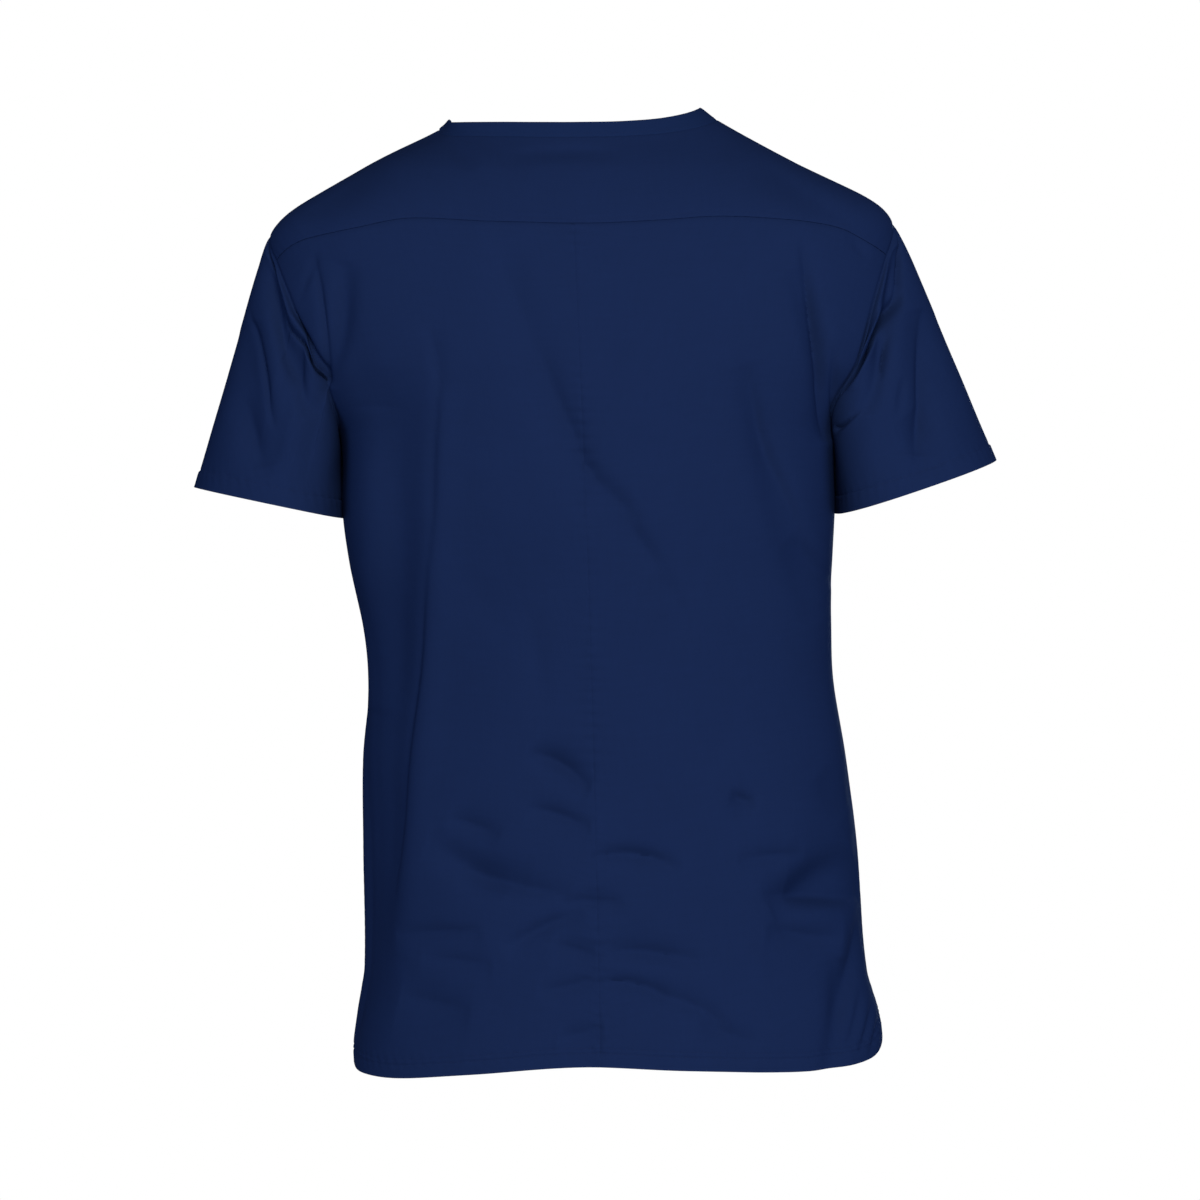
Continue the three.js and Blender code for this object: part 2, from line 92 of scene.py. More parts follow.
# What a shell adds: its thickness, and how far a turned hem stands out.
CLOTH = 0.9
HEM_RISE = 0.35

# Both fibres bend light alike. An edge sharper than the angle, in degrees, isn't shaded smooth.
FIBRE_IOR = 1.5
SHARP_ANGLE = 50.0

Array = np.ndarray


def smoothstep(x: Array | float, low: float, high: float) -> Array:
    """Return 0 below low and 1 above high, with an even rise between."""
    t = np.clip((np.asarray(x, float) - low) / (high - low), 0, 1)
    return t * t * (3 - 2 * t)


def lerp(a: Array | float, b: Array | float, t: Array | float) -> Array:
    """Return the mix of a and b at t."""
    return a + (b - a) * np.asarray(t, float)


def unit(vectors: Array) -> Array:
    """Return vectors scaled to a length of one."""
    return vectors / np.maximum(np.linalg.norm(vectors, axis=-1, keepdims=True), 1e-9)


def linear(hex_colour: str) -> tuple[float, float, float, float]:
    """Turn an sRGB hex colour into the linear colour that shaders take.

    Args:
        hex_colour: Six hex digits.

    Returns:
        Red, green, blue and an alpha of one.
    """
    parts = [int(hex_colour[i : i + 2], 16) / 255 for i in (0, 2, 4)]
    made = [p / 12.92 if p <= 0.04045 else ((p + 0.055) / 1.055) ** 2.4 for p in parts]
    return made[0], made[1], made[2], 1.0


@dataclass(frozen=True)
class Curve:
    """A smooth curve through a short table of (at, value) rows, held level past its ends."""

    rows: tuple[tuple[float, float], ...]

    def __call__(self, at: Array | float) -> Array:
        """Evaluate the curve.

        Args:
            at: Where to read it.

        Returns:
            The values there.
        """
        x, y = np.array(self.rows, float).T
        slope = np.empty_like(y)
        slope[1:-1] = (y[2:] - y[:-2]) / (x[2:] - x[:-2])
        slope[0] = (y[1] - y[0]) / (x[1] - x[0])
        slope[-1] = (y[-1] - y[-2]) / (x[-1] - x[-2])
        at = np.asarray(at, float)
        i = np.clip(np.searchsorted(x, at, side="left") - 1, 0, len(x) - 2)
        span = x[i + 1] - x[i]
        t = np.clip((at - x[i]) / span, 0, 1)
        rise = (3 - 2 * t) * t * t
        bend = t * (1 - t) * ((1 - t) * slope[i] - t * slope[i + 1])
        return lerp(y[i], y[i + 1], rise) + span * bend


@dataclass(frozen=True)
class Crease:
    """One crease on a flat map of the cloth, seen from behind: u runs right and v up, in mm.

    It runs from (u0, v0) to (u1, v1), and bows towards its left. A depth below zero is a trough.
    left and right are its half-widths on each side of its run: for one that runs down the cloth,
    left is the picture's right, and for one that runs to the right, left is above it. edge is how
    sharp it is: 2 is soft and round, and 1 is a pressed fold. ends is how soon it fades out.
    """

    u0: float
    v0: float
    u1: float
    v1: float
    depth: float
    left: float
    right: float
    bow: float = 0.0
    edge: float = 2.0
    ends: float = 0.9

    def height(self, u: Array, v: Array) -> Array:
        """Work out the crease's height.

        Args:
            u: Places across the map.
            v: Places up the map.

        Returns:
            Heights in mm, out of the cloth.
        """
        du, dv = self.u1 - self.u0, self.v1 - self.v0
        length = math.hypot(du, dv)
        along = np.clip(((u - self.u0) * du + (v - self.v0) * dv) / length**2, 0, 1)
        taper = np.sin(np.pi * along)
        aside = ((u - self.u0) * dv - (v - self.v0) * du) / length + self.bow * taper
        width = np.where(aside > 0, self.right, self.left)
        return self.depth * taper**self.ends * np.exp(-np.abs(aside / width) ** self.edge)


def creases(*rows: tuple[float, ...]) -> tuple[Crease, ...]:
    """Make a table of creases from rows of a crease's numbers, in the order of its fields."""
    return tuple(Crease(*row) for row in rows)


def crease_heights(table: Sequence[Crease], u: Array, v: Array) -> Array:
    """Return the sum of all the creases' heights at (u, v)."""
    total = np.zeros(np.broadcast(u, v).shape)
    for crease in table:
        total += crease.height(u, v)
    return total


@dataclass(frozen=True)
class Unevenness:
    """The slight waviness that washed cloth never loses: a few seeded waves of uneven length."""

    seed: int
    height: float = 0.32
    shortest: float = 26.0
    longest: float = 110.0
    count: int = 16

    def __call__(self, u: Array, v: Array) -> Array:
        """Evaluate the waves.

        Args:
            u: Places across the cloth's map, in mm.
            v: Places up it, in mm.

        Returns:
            Heights in mm, about as often above zero as below.
        """
        draw = np.random.default_rng(self.seed)
        total = np.zeros(np.broadcast(u, v).shape)
        for _ in range(self.count):
            length = draw.uniform(self.shortest, self.longest)
            way = draw.uniform(0, math.pi)
            phase = draw.uniform(0, 2 * math.pi)
            across = u * math.cos(way) + 0.6 * v * math.sin(way)
            total += length / self.longest * np.sin(2 * math.pi * across / length + phase)
        return self.height * total / math.sqrt(self.count) * 1.6


@dataclass(frozen=True)
class Wander:
    """How creases stray from their runs: two waves, by height, lengths and the second's shift."""

    slow: tuple[float, float, float]
    quick: tuple[float, float, float, float]

    def __call__(self, u: Array, v: Array) -> Array:
        """Return how far creases stray at (u, v), in mm."""
        height, across, up = self.slow
        quick_height, quick_up, quick_across, shift = self.quick
        slow = height * np.sin(u / across + v / up)
        return slow + quick_height * np.sin(v / quick_up - u / quick_across + shift)


class Half(Enum):
    """The torso's two halves."""

    BACK = "back"
    FRONT = "front"


class Side(Enum):
    """The wearer's sides, as the sign of x."""

    LEFT = -1
    RIGHT = 1


# The torso's rings by level: the ends across and their heights, and the depths at the centre.
RING_ROWS = (
    # level, left, right, left height, right height, back, front
    (0, -100.5, 96, 10.5, 18.5, 60, 52),
    (12, -108.5, 109, 3.5, 9, 66, 57),
    (40, -169, 171, -29.5, -26, 90, 74),
    (75, -234, 240, -73.5, -63, 109, 90),
    (110, -243, 250, -112, -108, 121, 102),
    (155, -240, 250, -155, -155, 130, 111),
    (185, -228, 240, -185, -185, 134, 115),
    (212, -205, 219, -212, -212, 135, 118),
    (240, -186, 203, -240, -240, 136, 120),
    (300, -183, 201, -300, -300, 136, 122),
    (340, -177, 199, -340, -340, 132, 122),
    (385, -165, 198, -385, -385, 129, 122),
    (430, -162.5, 200, -430, -430, 127, 123),
    (490, -168, 210, -490, -490, 128, 125),
    (560, -168, 219, -560, -560, 132, 127),
    (655, -167, 226, -655, -655, 137, 128),
    (690, -172, 235.5, -690, -690, 139, 128),
    (715, -175, 238.5, -715, -715, 140, 128),
    (735, -174, 237, -735, -735, 140, 128),
)


def ring_column(place: int) -> Curve:
    """Return one column of the ring table as a curve by level."""
    return Curve(tuple((row[0], row[place]) for row in RING_ROWS))


CENTRE_SEAM = Curve(((0, -2), (83, -2), (300, 7), (500, 13), (715, 18)))

YOKE_SEAM = Curve(
    (
        (-74, 104.5), (-55, 92), (-37, 84), (-26, 78), (-12, 81), (0, 82.5),
        (12, 80.5), (22, 77.5), (32, 80), (45, 85), (60, 97), (74, 104.5),
    )
)  # fmt: skip

BACK_HEM = Curve(
    (
        (-90, 728), (-74, 731), (-54, 731), (-30, 724.5), (-4, 717),
        (17, 720), (48, 723.5), (71, 719), (82, 711), (90, 700),
    )
)  # fmt: skip

# The large folds that the solids have too.
BACK_FOLDS = creases(
    (-101, -160, -140, -640, 4, 14, 14, 8, 2, 0.5),
    (-141, -190, -160, -690, -9, 20, 20, 5, 2, 0.8),
    (-58, -100, 64, -372, -4.5, 15, 15, -13, 2, 0.5),
    (166, -116, 191, -246, -6, 9, 9, 5, 2, 0.5),
    (128, -190, 184, -384, -5, 13, 13, -4, 2, 0.5),
    (218, -568, 148, -604, -8, 15, 15, -4, 2, 0.5),
    (-176, -110, -192, -204, -6, 9, 9, 4, 2, 0.5),
    (202, -640, 190, -735, -6, 10, 10, 4, 2, 0.5),
    (-114, -550, -36, -576, -3.5, 12, 12, -6, 2, 0.5),
)
FRONT_FOLDS = creases(
    (-120, -150, -104, -610, -6, 18, 18, -12, 2, 0.5),
    (118, -160, 140, -640, -7, 18, 18, 12, 2, 0.5),
    (-168, -110, -186, -226, -6, 10, 10, -5, 2, 0.5),
    (172, -112, 190, -230, -6, 10, 10, 5, 2, 0.5),
    (72, -120, 6, -330, -4, 16, 16, 10, 2, 0.5),
    (-60, -190, 26, -420, -3.5, 15, 15, -8, 2, 0.5),
)

# The finer creases of the back, from the shoulders down.
BACK_CREASES = creases(
    (-59, -28, 37, -25, -1.8, 5, 9, 2),
    (-99, -7, -75, -35, -1.6, 7, 7),
    (-216, -78, -146, -28, -3.4, 10, 18),
    (132, -26, 228, -94, -3.6, 10, 20),
    (209, -85, 225, -106, -1.6, 5, 5),
    (-200, -104, -193, -212, -4.2, 2.4, 3.4, 3, 1.3, 0.6),
    (-196, -97, -214, -140, -1.8, 2.5, 3, 0, 1.6),
    (-221, -148, -191, -204, -7, 3.2, 3.2, 1, 1.6, 0.4),
    (-223, -152, -195, -202, 1.8, 2.5, 2.5, 3),
    (-178, -139, -150, -232, -1.2, 14, 14),
    (-112, -157, -102, -217, -3, 9, 4, 0, 1.5),
    (-105, -190, -112, -340, -3.2, 2.5, 6, 3, 1.3),
    (-110, -310, -146, -600, -4.2, 2.5, 7, 3, 1.3),
    (-158, -452, -172, -730, -6, 24, 14, 0, 2, 0.6),
    (-156, -222, -160, -452, 6, 15, 16, 0, 2, 0.6),
    (-63, -94, -36, -164, -1.2, 7, 6, 2, 1.7),
    (-30, -176, 6, -268, -2.6, 6, 5, 2, 1.7),
    (-4, -254, 20, -284, -3.2, 6, 5, 0, 1.7),
    (10, -276, 50, -308, -3.8, 8, 11, 3, 1.7),
    (36, -300, 62, -346, -3.4, 8, 10, 0, 1.7),
    (54, -330, 88, -400, -2.8, 10, 11),
    (124, -180, 188, -350, -4.4, 5, 9, -4, 1.5),
    (166, -320, 200, -358, -4.6, 7, 13),
    (169, -92, 192, -246, -6.8, 6, 3, 2, 1.3, 0.7),
    (196, -172, 202, -246, -5.5, 6, 3.5, 0, 1.3),
    (138, -593, 222, -599, -7, 18, 7, 2, 1.3, 0.8),
    (160, -592, 230, -598, -9, 42, 7, 2, 1.3, 1),
    (221, -600, 199, -698, -6.5, 6, 8, 3, 1.6),
    (220, -662, 206, -712, -3.4, 3, 3, 2, 1.6),
    (228, -675, 214, -717, -3, 2.6, 2.6, 2, 1.6),
    (235, -686, 223, -718, -2.4, 2.4, 2.4, 1, 1.6),
    (-38, -484, 12, -507, -9.6, 10, 9, 3, 1.25, 0.7),
    (-40, -525, 11, -537, -6.3, 6, 9, 2, 1.25, 0.7),
    (-97, -531, -57, -543, -5, 6, 9, 1, 1.25, 0.7),
    (9, -562, 80, -568, -7.3, 6, 9, 7, 1.25, 0.7),
    (-106, -552, -52, -586, -5, 12, 14, 0, 1.5, 1),
    (-86, -568, -8, -594, -7.3, 10, 9, 0, 1.25, 0.7),
    (-17, -598, 36, -596, -5.4, 6, 9, 1, 1.25, 0.7),
    (-55, -628, 4, -604, -6.7, 6, 9, 3, 1.25, 0.7),
    (-17, -623, 20, -634, -5.6, 6, 9, -1, 1.25, 0.7),
    (15, -632, 95, -638, -7.3, 10, 9, 3, 1.25, 0.7),
    (-25, -658, 19, -651, -5, 6, 9, 0, 1.25, 0.7),
    (14, -653, 70, -668, -7.3, 7, 9, 2, 1.25, 0.7),
    (52, -666, 116, -682, -6, 9, 9, 3, 1.25, 0.7),
    (-13, -694, 20, -689, -4.4, 6, 9, 0, 1.25, 0.7),
    (-141, -625, -72, -617, -5, 6, 9, 0, 1.25, 0.7),
    (-120, -643, -63, -641, -4, 6, 9, 0, 1.25, 0.7),
    (-135, -668, -80, -678, -6, 10, 22, 0, 1.25, 0.7),
    (114, -517, 135, -525, -6.3, 6, 9, 0, 1.25, 0.7),
    (142, -620, 204, -626, -8.3, 10, 15, 0, 1.25, 0.7),
    (96, -682, 140, -699, -6, 10, 15, 0, 1.25, 0.7),
    (121, -564, 175, -558, -5, 6, 9, 0, 1.25, 0.7),
    (18, -140, 32, -220, -1.4, 13, 13),
    (78, -170, 94, -242, -1.5, 15, 15),
    (-80, -336, -58, -400, -1.5, 14, 14),
    (-38, -366, -24, -452, -1.7, 9, 9, 3),
    (104, -456, 112, -500, -1.6, 12, 12),
    (186, -500, 212, -530, -3.2, 12, 12),
)

# Creases like them on the front, which the photo hides.
FRONT_CREASES = creases(
    (-190, -120, -180, -204, -2.2, 4, 5, 0, 1.4),
    (194, -118, 188, -210, -2.3, 5, 4, 0, 1.4),
    (178, -138, 96, -214, -1.7, 8, 8, -3),
    (-168, -134, -92, -208, -1.6, 8, 8, 3),
    (104, -236, 118, -420, -2.4, 10, 5, 3, 1.5),
    (-98, -226, -110, -430, -2.4, 5, 10, -3, 1.5),
    (-10, -176, 22, -318, -1.4, 12, 12, 3),
    (56, -210, 30, -366, -1.3, 9, 9, -4),
    (-60, -300, -22, -440, -1.3, 12, 10),
    (128, -430, 150, -640, -3, 12, 6, 3, 1.5),
    (-112, -440, -128, -650, -2.8, 6, 12, 3, 1.5),
    (-66, -492, 20, -514, -1.8, 9, 4, 3, 1.4),
    (2, -540, 84, -532, -1.6, 8, 4, 3, 1.5),
    (-92, -560, -20, -584, -1.9, 10, 4, -2, 1.4),
    (36, -586, 126, -604, -2.2, 5, 10, 3, 1.5),
    (-40, -618, 40, -624, -1.7, 9, 4, 2, 1.5),
    (-128, -640, -60, -652, -1.5, 12, 10),
    (70, -652, 140, -664, -1.4, 11, 9),
    (176, -560, 206, -600, -2.2, 10, 10),
    (-24, -678, 50, -682, -1.2, 7, 6),
)


@dataclass(frozen=True)
class Torso:
    """The body of the top: smooth rings from neck to hem, with folds laid over them.

    The margins are where folds and creases fade at the sides, by the cosine of the angle. calm is
    how much less creases stray towards the sides, and calm_zone where that sets in.
    """

    back_folds: tuple[Crease, ...] = BACK_FOLDS
    front_folds: tuple[Crease, ...] = FRONT_FOLDS
    back_creases: tuple[Crease, ...] = BACK_CREASES
    front_creases: tuple[Crease, ...] = FRONT_CREASES
    back_waves: Unevenness = Unevenness(11)
    front_waves: Unevenness = Unevenness(23)
    wander: Wander = Wander((2.2, 23, 41), (1.6, 17, 37, 1.3))
    calm: float = 0.7
    calm_zone: tuple[float, float] = (150.0, 185.0)
    fold_margin: float = 0.25
    fine_margin: float = 0.12
    ring: tuple[Curve, ...] = field(default_factory=lambda: tuple(map(ring_column, range(1, 7))))

    def form(self, angle: Array, level: Array) -> Array:
        """Place points on the smooth form.

        Args:
            angle: Radians round from centre back.
            level: Millimetres below the neck edge.

        Returns:
            Points in mm, in the last axis.
        """
        left, right, left_height, right_height, back, front = (c(level) for c in self.ring)
        side, across = np.sin(angle), np.cos(angle)
        depth = np.where(across > 0, -back, front)
        height = lerp(left_height, right_height, (1 + side) / 2)
        neck = lerp(NECK_CURVE_LEFT, NECK_CURVE_RIGHT, (1 + side) / 2)
        curve = lerp(neck, BODY_CURVE, smoothstep(level, NECKBAND_WIDTH, SHOULDER_LEVEL))
        x = (left + right) / 2 + (right - left) / 2 * side
        y = depth * np.abs(across) ** RING_FULLNESS
        z = lerp(height, -level, np.abs(across) ** curve)
        return np.stack(np.broadcast_arrays(x, y, z), axis=-1)

    def normal(self, angle: Array, level: Array) -> Array:
        """Return the way out of the smooth form, as unit vectors."""
        turn, drop = 0.02, 2.0
        round_it = self.form(angle + turn, level) - self.form(angle - turn, level)
        down = self.form(angle, level + drop) - self.form(angle, level - drop)
        return unit(np.cross(down, round_it))

    def relief(self, angle: Array, point: Array) -> Array:
        """Work out how far folds, creases and unevenness lift the cloth.

        Args:
            angle: Radians round from centre back.
            point: Points on the smooth form.

        Returns:
            Heights in mm.
        """
        x, z = point[..., 0], point[..., 2]
        across = np.cos(angle)
        fold_fade = smoothstep(np.abs(across), 0, self.fold_margin)
        fine_fade = smoothstep(np.abs(across), 0, self.fine_margin)
        wander = self.wander(x, z) * (1 - self.calm * smoothstep(np.abs(x), *self.calm_zone))
        u, v = x + WANDER_ACROSS * wander, z + wander
        back = fold_fade * crease_heights(self.back_folds, x, z)
        back += fine_fade * (crease_heights(self.back_creases, u, v) + self.back_waves(x, z))
        front = fold_fade * crease_heights(self.front_folds, x, z)
        front += fine_fade * (crease_heights(self.front_creases, u, v) + self.front_waves(x, z))
        return np.where(across > 0, back, front)

    def cloth(self, angle: Array, level: Array) -> tuple[Array, Array]:
        """Place the cloth's outer face.

        Args:
            angle: Radians round from centre back.
            level: Millimetres below the neck edge.

        Returns:
            The points, and the ways out of the form there.
        """
        point, normal = self.form(angle, level), self.normal(angle, level)
        return point + normal * self.relief(angle, point)[..., None], normal


def armhole_level(round_it: Array) -> Array:
    """Return the armhole's level by degrees round it from the shoulder seam."""
    return lerp(SHOULDER_LEVEL, UNDERARM_LEVEL, (1 - np.cos(np.radians(round_it))) / 2)


def side_edge(level: Array, half: Half) -> Array:
    """Find a half's side edge: along the shoulder seam, round the armhole and down to the hem.

    Args:
        level: Millimetres below the neck edge.
        half: Back or front.

    Returns:
        Radians from that half's centre.
    """
    is_back = half is Half.BACK
    scoop, vent = (BACK_SCOOP, BACK_VENT) if is_back else (FRONT_SCOOP, FRONT_VENT)
    at_shoulder = 90 + (SEAM_FORWARD if is_back else -SEAM_FORWARD)
    top = SHOULDER_LEVEL + SHOULDER_SNAP
    share = np.clip((level - top) / (UNDERARM_LEVEL - top), 0, 1)
    opening = vent * smoothstep(level, VENT_LEVEL, VENT_LEVEL + VENT_RUN)
    scooped = scoop * 2 * np.sqrt(share * (1 - share))
    return np.radians(lerp(at_shoulder, 90, share) - scooped - opening)


def seam_angle(level: Array, torso: Torso) -> Array:
    """Return the centre-back seam's angle at a level."""
    left, right = torso.ring[0](level), torso.ring[1](level)
    return np.arcsin((CENTRE_SEAM(level) - (left + right) / 2) / ((right - left) / 2))


def back_angle(column: Array, level: Array, torso: Torso) -> Array:
    """Find the angle of a column of the back, from -1 at its left edge to 1 at its right edge.

    Args:
        column: Places across the back, 0 at the centre seam.
        level: Millimetres below the neck edge.
        torso: The form.

    Returns:
        Radians round from centre back.
    """
    side = np.sign(column) * math.pi / 2
    cut_away = np.sign(column) * side_edge(level, Half.BACK) - side
    return lerp(seam_angle(level, torso), side, np.abs(column)) + cut_away * column**2


def front_angle(column: Array, level: Array) -> Array:
    """Return the angle of a column of the front, from -1 at its left edge to 1 at its right."""
    cut_away = side_edge(level, Half.FRONT) - math.pi / 2
    return math.pi - column * math.pi / 2 - np.sign(column) * cut_away * column**2


def neck_level(column: Array, top_level: float, point_height: float, torso: Torso) -> Array:
    """Find where a straight V line crosses each column of the front.

    Args:
        column: Places across the front.
        top_level: The level of the line's upper ends, on the shoulder seams.
        point_height: The height of the V's point.
        torso: The form.

    Returns:
        The levels of the line.
    """
    end = np.where(column == 0, 1, np.sign(column))
    corner = torso.form(front_angle(end, top_level), np.full_like(column, top_level))
    high, low = np.full_like(column, top_level), np.full_like(column, -point_height)
    for _ in range(HALVINGS):
        level = (high + low) / 2
        point = torso.form(front_angle(column, level), level)
        share = np.clip(np.abs(point[:, 0] / corner[:, 0]), 0, 1)
        above = point[:, 2] > lerp(point_height, corner[:, 2], share)
        high, low = np.where(above, level, high), np.where(above, low, level)
    return (high + low) / 2


def graded(length: float, coarse: float, fine: float, run: float = 10.0) -> Array:
    """Divide a length so that the steps are fine at both ends and coarse between.

    Args:
        length: The length, in mm.
        coarse: The step far from the ends.
        fine: The step at the ends.
        run: How far from an end the steps stay shorter.

    Returns:
        Places from 0 to 1.
    """
    places = [0.0]
    while places[-1] < length:
        near = min(places[-1], length - places[-1])
        places.append(places[-1] + float(lerp(fine, coarse, smoothstep(near, 0, run))))
    return np.array(places) / places[-1]


class Edge(Enum):
    """The edges of a grid of cloth."""

    TOP = "top"
    BOTTOM = "bottom"
    FIRST = "first column"
    LAST = "last column"


@dataclass(frozen=True)
class Seam:
    """A sewn seam along an edge: the cloth dips into it, and puckers a little beside it."""

    dip: float = 0.8
    width: float = 1.5
    pucker: float = 0.12
    pucker_length: float = 8.0
    pucker_reach: float = 6.0
    stitch_rows: tuple[float, ...] = ()

    def lift(self, away: Array, along: Array) -> Array:
        """Work out the seam's effect on the cloth.

        Args:
            away: Distances from the edge, in mm.
            along: Distances along it, in mm.

        Returns:
            Heights in mm.
        """
        uneven = np.sin(2 * np.pi * along / self.pucker_length + 1.7 * np.sin(along / 19))
        strength = 0.65 + 0.35 * np.sin(along / 31 + 2.0)
        pucker = self.pucker * uneven * strength * np.exp(-away / self.pucker_reach)
        made = pucker - self.dip * np.exp(-((away / self.width) ** 2))
        for row in self.stitch_rows:
            made = made - 0.3 * np.exp(-(((away - row) / 0.8) ** 2))
        return made


@dataclass(frozen=True)
class Hem:
    """A turned hem: a second layer that stands out, with rows of stitching sunk into it."""

    depth: float = HEM_DEPTH
    rise: float = HEM_RISE
    stitch_rows: tuple[float, ...] = (14.2, 10.2)
    groove: float = 0.6
    pucker: float = 0.22
    pucker_length: float = 9.0

    def lift(self, away: Array, along: Array) -> Array:
        """Work out the hem's effect on the cloth.

        Args:
            away: Distances from the edge, in mm.
            along: Distances along it, in mm.

        Returns:
            Heights in mm.
        """
        inside = 1 - smoothstep(away, self.depth - 0.4, self.depth + 0.9)
        slant = along + 0.5 * away
        wave = np.sin(2 * np.pi * slant / self.pucker_length + 1.5 * np.sin(along / 23))
        reach = np.exp(-(((away - self.depth * 0.8) / (self.depth * 0.5)) ** 2))
        made = self.rise * inside + self.pucker * wave * reach
        for row in self.stitch_rows:
            made = made - self.groove * np.exp(-(((away - row) / 0.9) ** 2))
        return made


def span_lengths(points: Array, axis: int) -> Array:
    """Return the distance covered along an axis of a grid of points, from its start."""
    steps = np.linalg.norm(np.diff(points, axis=axis), axis=-1)
    start = np.zeros_like(np.take(steps, [0], axis=axis))
    return np.concatenate([start, np.cumsum(steps, axis=axis)], axis=axis)


def four_cornered(*corners: Array) -> Array:
    """Return faces of four points, one to a row, from the numbers of their corners."""
    return np.stack(corners, -1).reshape(-1, 4)


@dataclass
class ClothGrid:
    """One sewn piece as a grid of points on its outer face: rows down it, and columns across."""

    name: str
    points: Array
    normals: Array
    finishes: dict[Edge, Seam | Hem] = field(default_factory=dict)
    closed: bool = False
    thickness: float = CLOTH
    away: dict[Edge, Array] = field(default_factory=dict)
    grain: Array | None = None

    def __post_init__(self) -> None:
        """Measure the flat cloth: how far each point is from each edge, along its threads."""
        down = span_lengths(self.points, 0)
        across = span_lengths(self.points, 1)
        self.away = {
            Edge.TOP: down,
            Edge.BOTTOM: down[-1:] - down,
            Edge.FIRST: across,
            Edge.LAST: across[:, -1:] - across,
        }
        middle = across[:, across.shape[1] // 2][:, None]
        self.grain = np.stack([across - middle, -down], axis=-1)

    def finish_edges(self, weight: dict[Edge, Array] | None = None) -> None:
        """Lift or sink the cloth by the seams and hems along its edges.

        Args:
            weight: How strongly each edge's finish acts, where it isn't 1 all along.
        """
        lift = np.zeros(self.points.shape[:2])
        for edge, finish in self.finishes.items():
            level_edge = edge in (Edge.TOP, Edge.BOTTOM)
            along = self.away[Edge.FIRST] if level_edge else self.away[Edge.TOP]
            lift += finish.lift(self.away[edge], along) * (weight or {}).get(edge, 1.0)
        lift = np.maximum(lift, -self.thickness)
        self.points = self.points + self.normals * lift[..., None]

    def line(self, edge: Edge, away: float, keep: Callable[[Array], Array] | None = None) -> "Line":
        """Trace the line that runs a fixed distance from an edge.

        Args:
            edge: The edge.
            away: The distance from it, in mm.
            keep: Picks the part of the line to keep, from its points.

        Returns:
            The line, on the outer face.
        """
        distance = self.away[edge]
        points, normals = self.points, self.normals
        if edge in (Edge.FIRST, Edge.LAST):
            distance, points, normals = distance.T, points.swapaxes(0, 1), normals.swapaxes(0, 1)
        if edge in (Edge.BOTTOM, Edge.LAST):
            distance, points, normals = distance[::-1], points[::-1], normals[::-1]
        found, ways = [], []
        for c in range(distance.shape[1]):
            row = float(np.interp(away, distance[:, c], np.arange(distance.shape[0])))
            low = min(int(row), distance.shape[0] - 2)
            found.append(lerp(points[low, c], points[low + 1, c], row - low))
            ways.append(normals[low, c])
        line = Line(np.array(found), unit(np.array(ways)))
        return line if keep is None else line.where(keep(line.points))

    def shell(self) -> bpy.types.Object:
        """Make the piece's mesh: its outer face, a plain inside and the edges between.

        Returns:
            The new object, in metres, with the grain's place in its "grain" attribute.
        """
        rows, columns = self.points.shape[:2]
        inner = self.points - self.normals * self.thickness
        verts = np.concatenate([self.points.reshape(-1, 3), inner.reshape(-1, 3)]) * MM
        face = np.arange(rows * columns).reshape(rows, columns)
        if self.closed:
            face = np.concatenate([face, face[:, :1]], axis=1)
        back = face + rows * columns
        quads = [
            four_cornered(face[:-1, :-1], face[1:, :-1], face[1:, 1:], face[:-1, 1:]),
            four_cornered(back[:-1, :-1], back[:-1, 1:], back[1:, 1:], back[1:, :-1]),
            four_cornered(face[0, :-1], face[0, 1:], back[0, 1:], back[0, :-1]),
            four_cornered(face[-1, :-1], back[-1, :-1], back[-1, 1:], face[-1, 1:]),
        ]
        if not self.closed:
            quads += [
                four_cornered(face[:-1, 0], back[:-1, 0], back[1:, 0], face[1:, 0]),
                four_cornered(face[:-1, -1], face[1:, -1], back[1:, -1], back[:-1, -1]),
            ]
        grain = np.concatenate([self.grain.reshape(-1, 2)] * 2) * MM
        return make_mesh(self.name, verts, np.concatenate(quads), grain)


@dataclass(frozen=True)
class Line:
    """A line on the cloth, with the way out of the cloth at each of its points."""

    points: Array
    normals: Array

    def where(self, kept: Array) -> "Line":
        """Return the kept points of the line."""
        return Line(self.points[kept], self.normals[kept])

    def even(self, pitch: float) -> tuple[Array, Array, Array]:
        """Step along the line.

        Args:
            pitch: The length of a step, in mm.

        Returns:
            The steps' starts and ends, and the ways out there.
        """
        gone = span_lengths(self.points, 0)
        at = np.arange(0, gone[-1], pitch)
        point = np.stack([np.interp(at, gone, self.points[:, k]) for k in range(3)], -1)
        way = unit(np.stack([np.interp(at, gone, self.normals[:, k]) for k in range(3)], -1))
        return point[:-1], point[1:], way[:-1]


def make_mesh(
    name: str, verts: Array, quads: Array, grain: Array | None = None
) -> bpy.types.Object:
    """Make a smooth-shaded mesh object.

    Args:
        name: The object's name.
        verts: Points in metres.
        quads: Faces of four points.
        grain: Where each point lies on the flat cloth, in metres.

    Returns:
        The object, linked to the scene.
    """
    mesh = bpy.data.meshes.new(name)
    mesh.from_pydata(verts.tolist(), [], quads.tolist())
    mesh.validate()
    mesh.shade_smooth()
    mesh.set_sharp_from_angle(angle=math.radians(SHARP_ANGLE))
    if grain is not None:
        layer = mesh.attributes.new("grain", "FLOAT_VECTOR", "POINT")
        flat = np.zeros((len(verts), 3), np.float32)
        flat[:, :2] = grain
        layer.data.foreach_set("vector", flat.ravel())
    made = bpy.data.objects.new(name, mesh)
    bpy.context.scene.collection.objects.link(made)
    return made


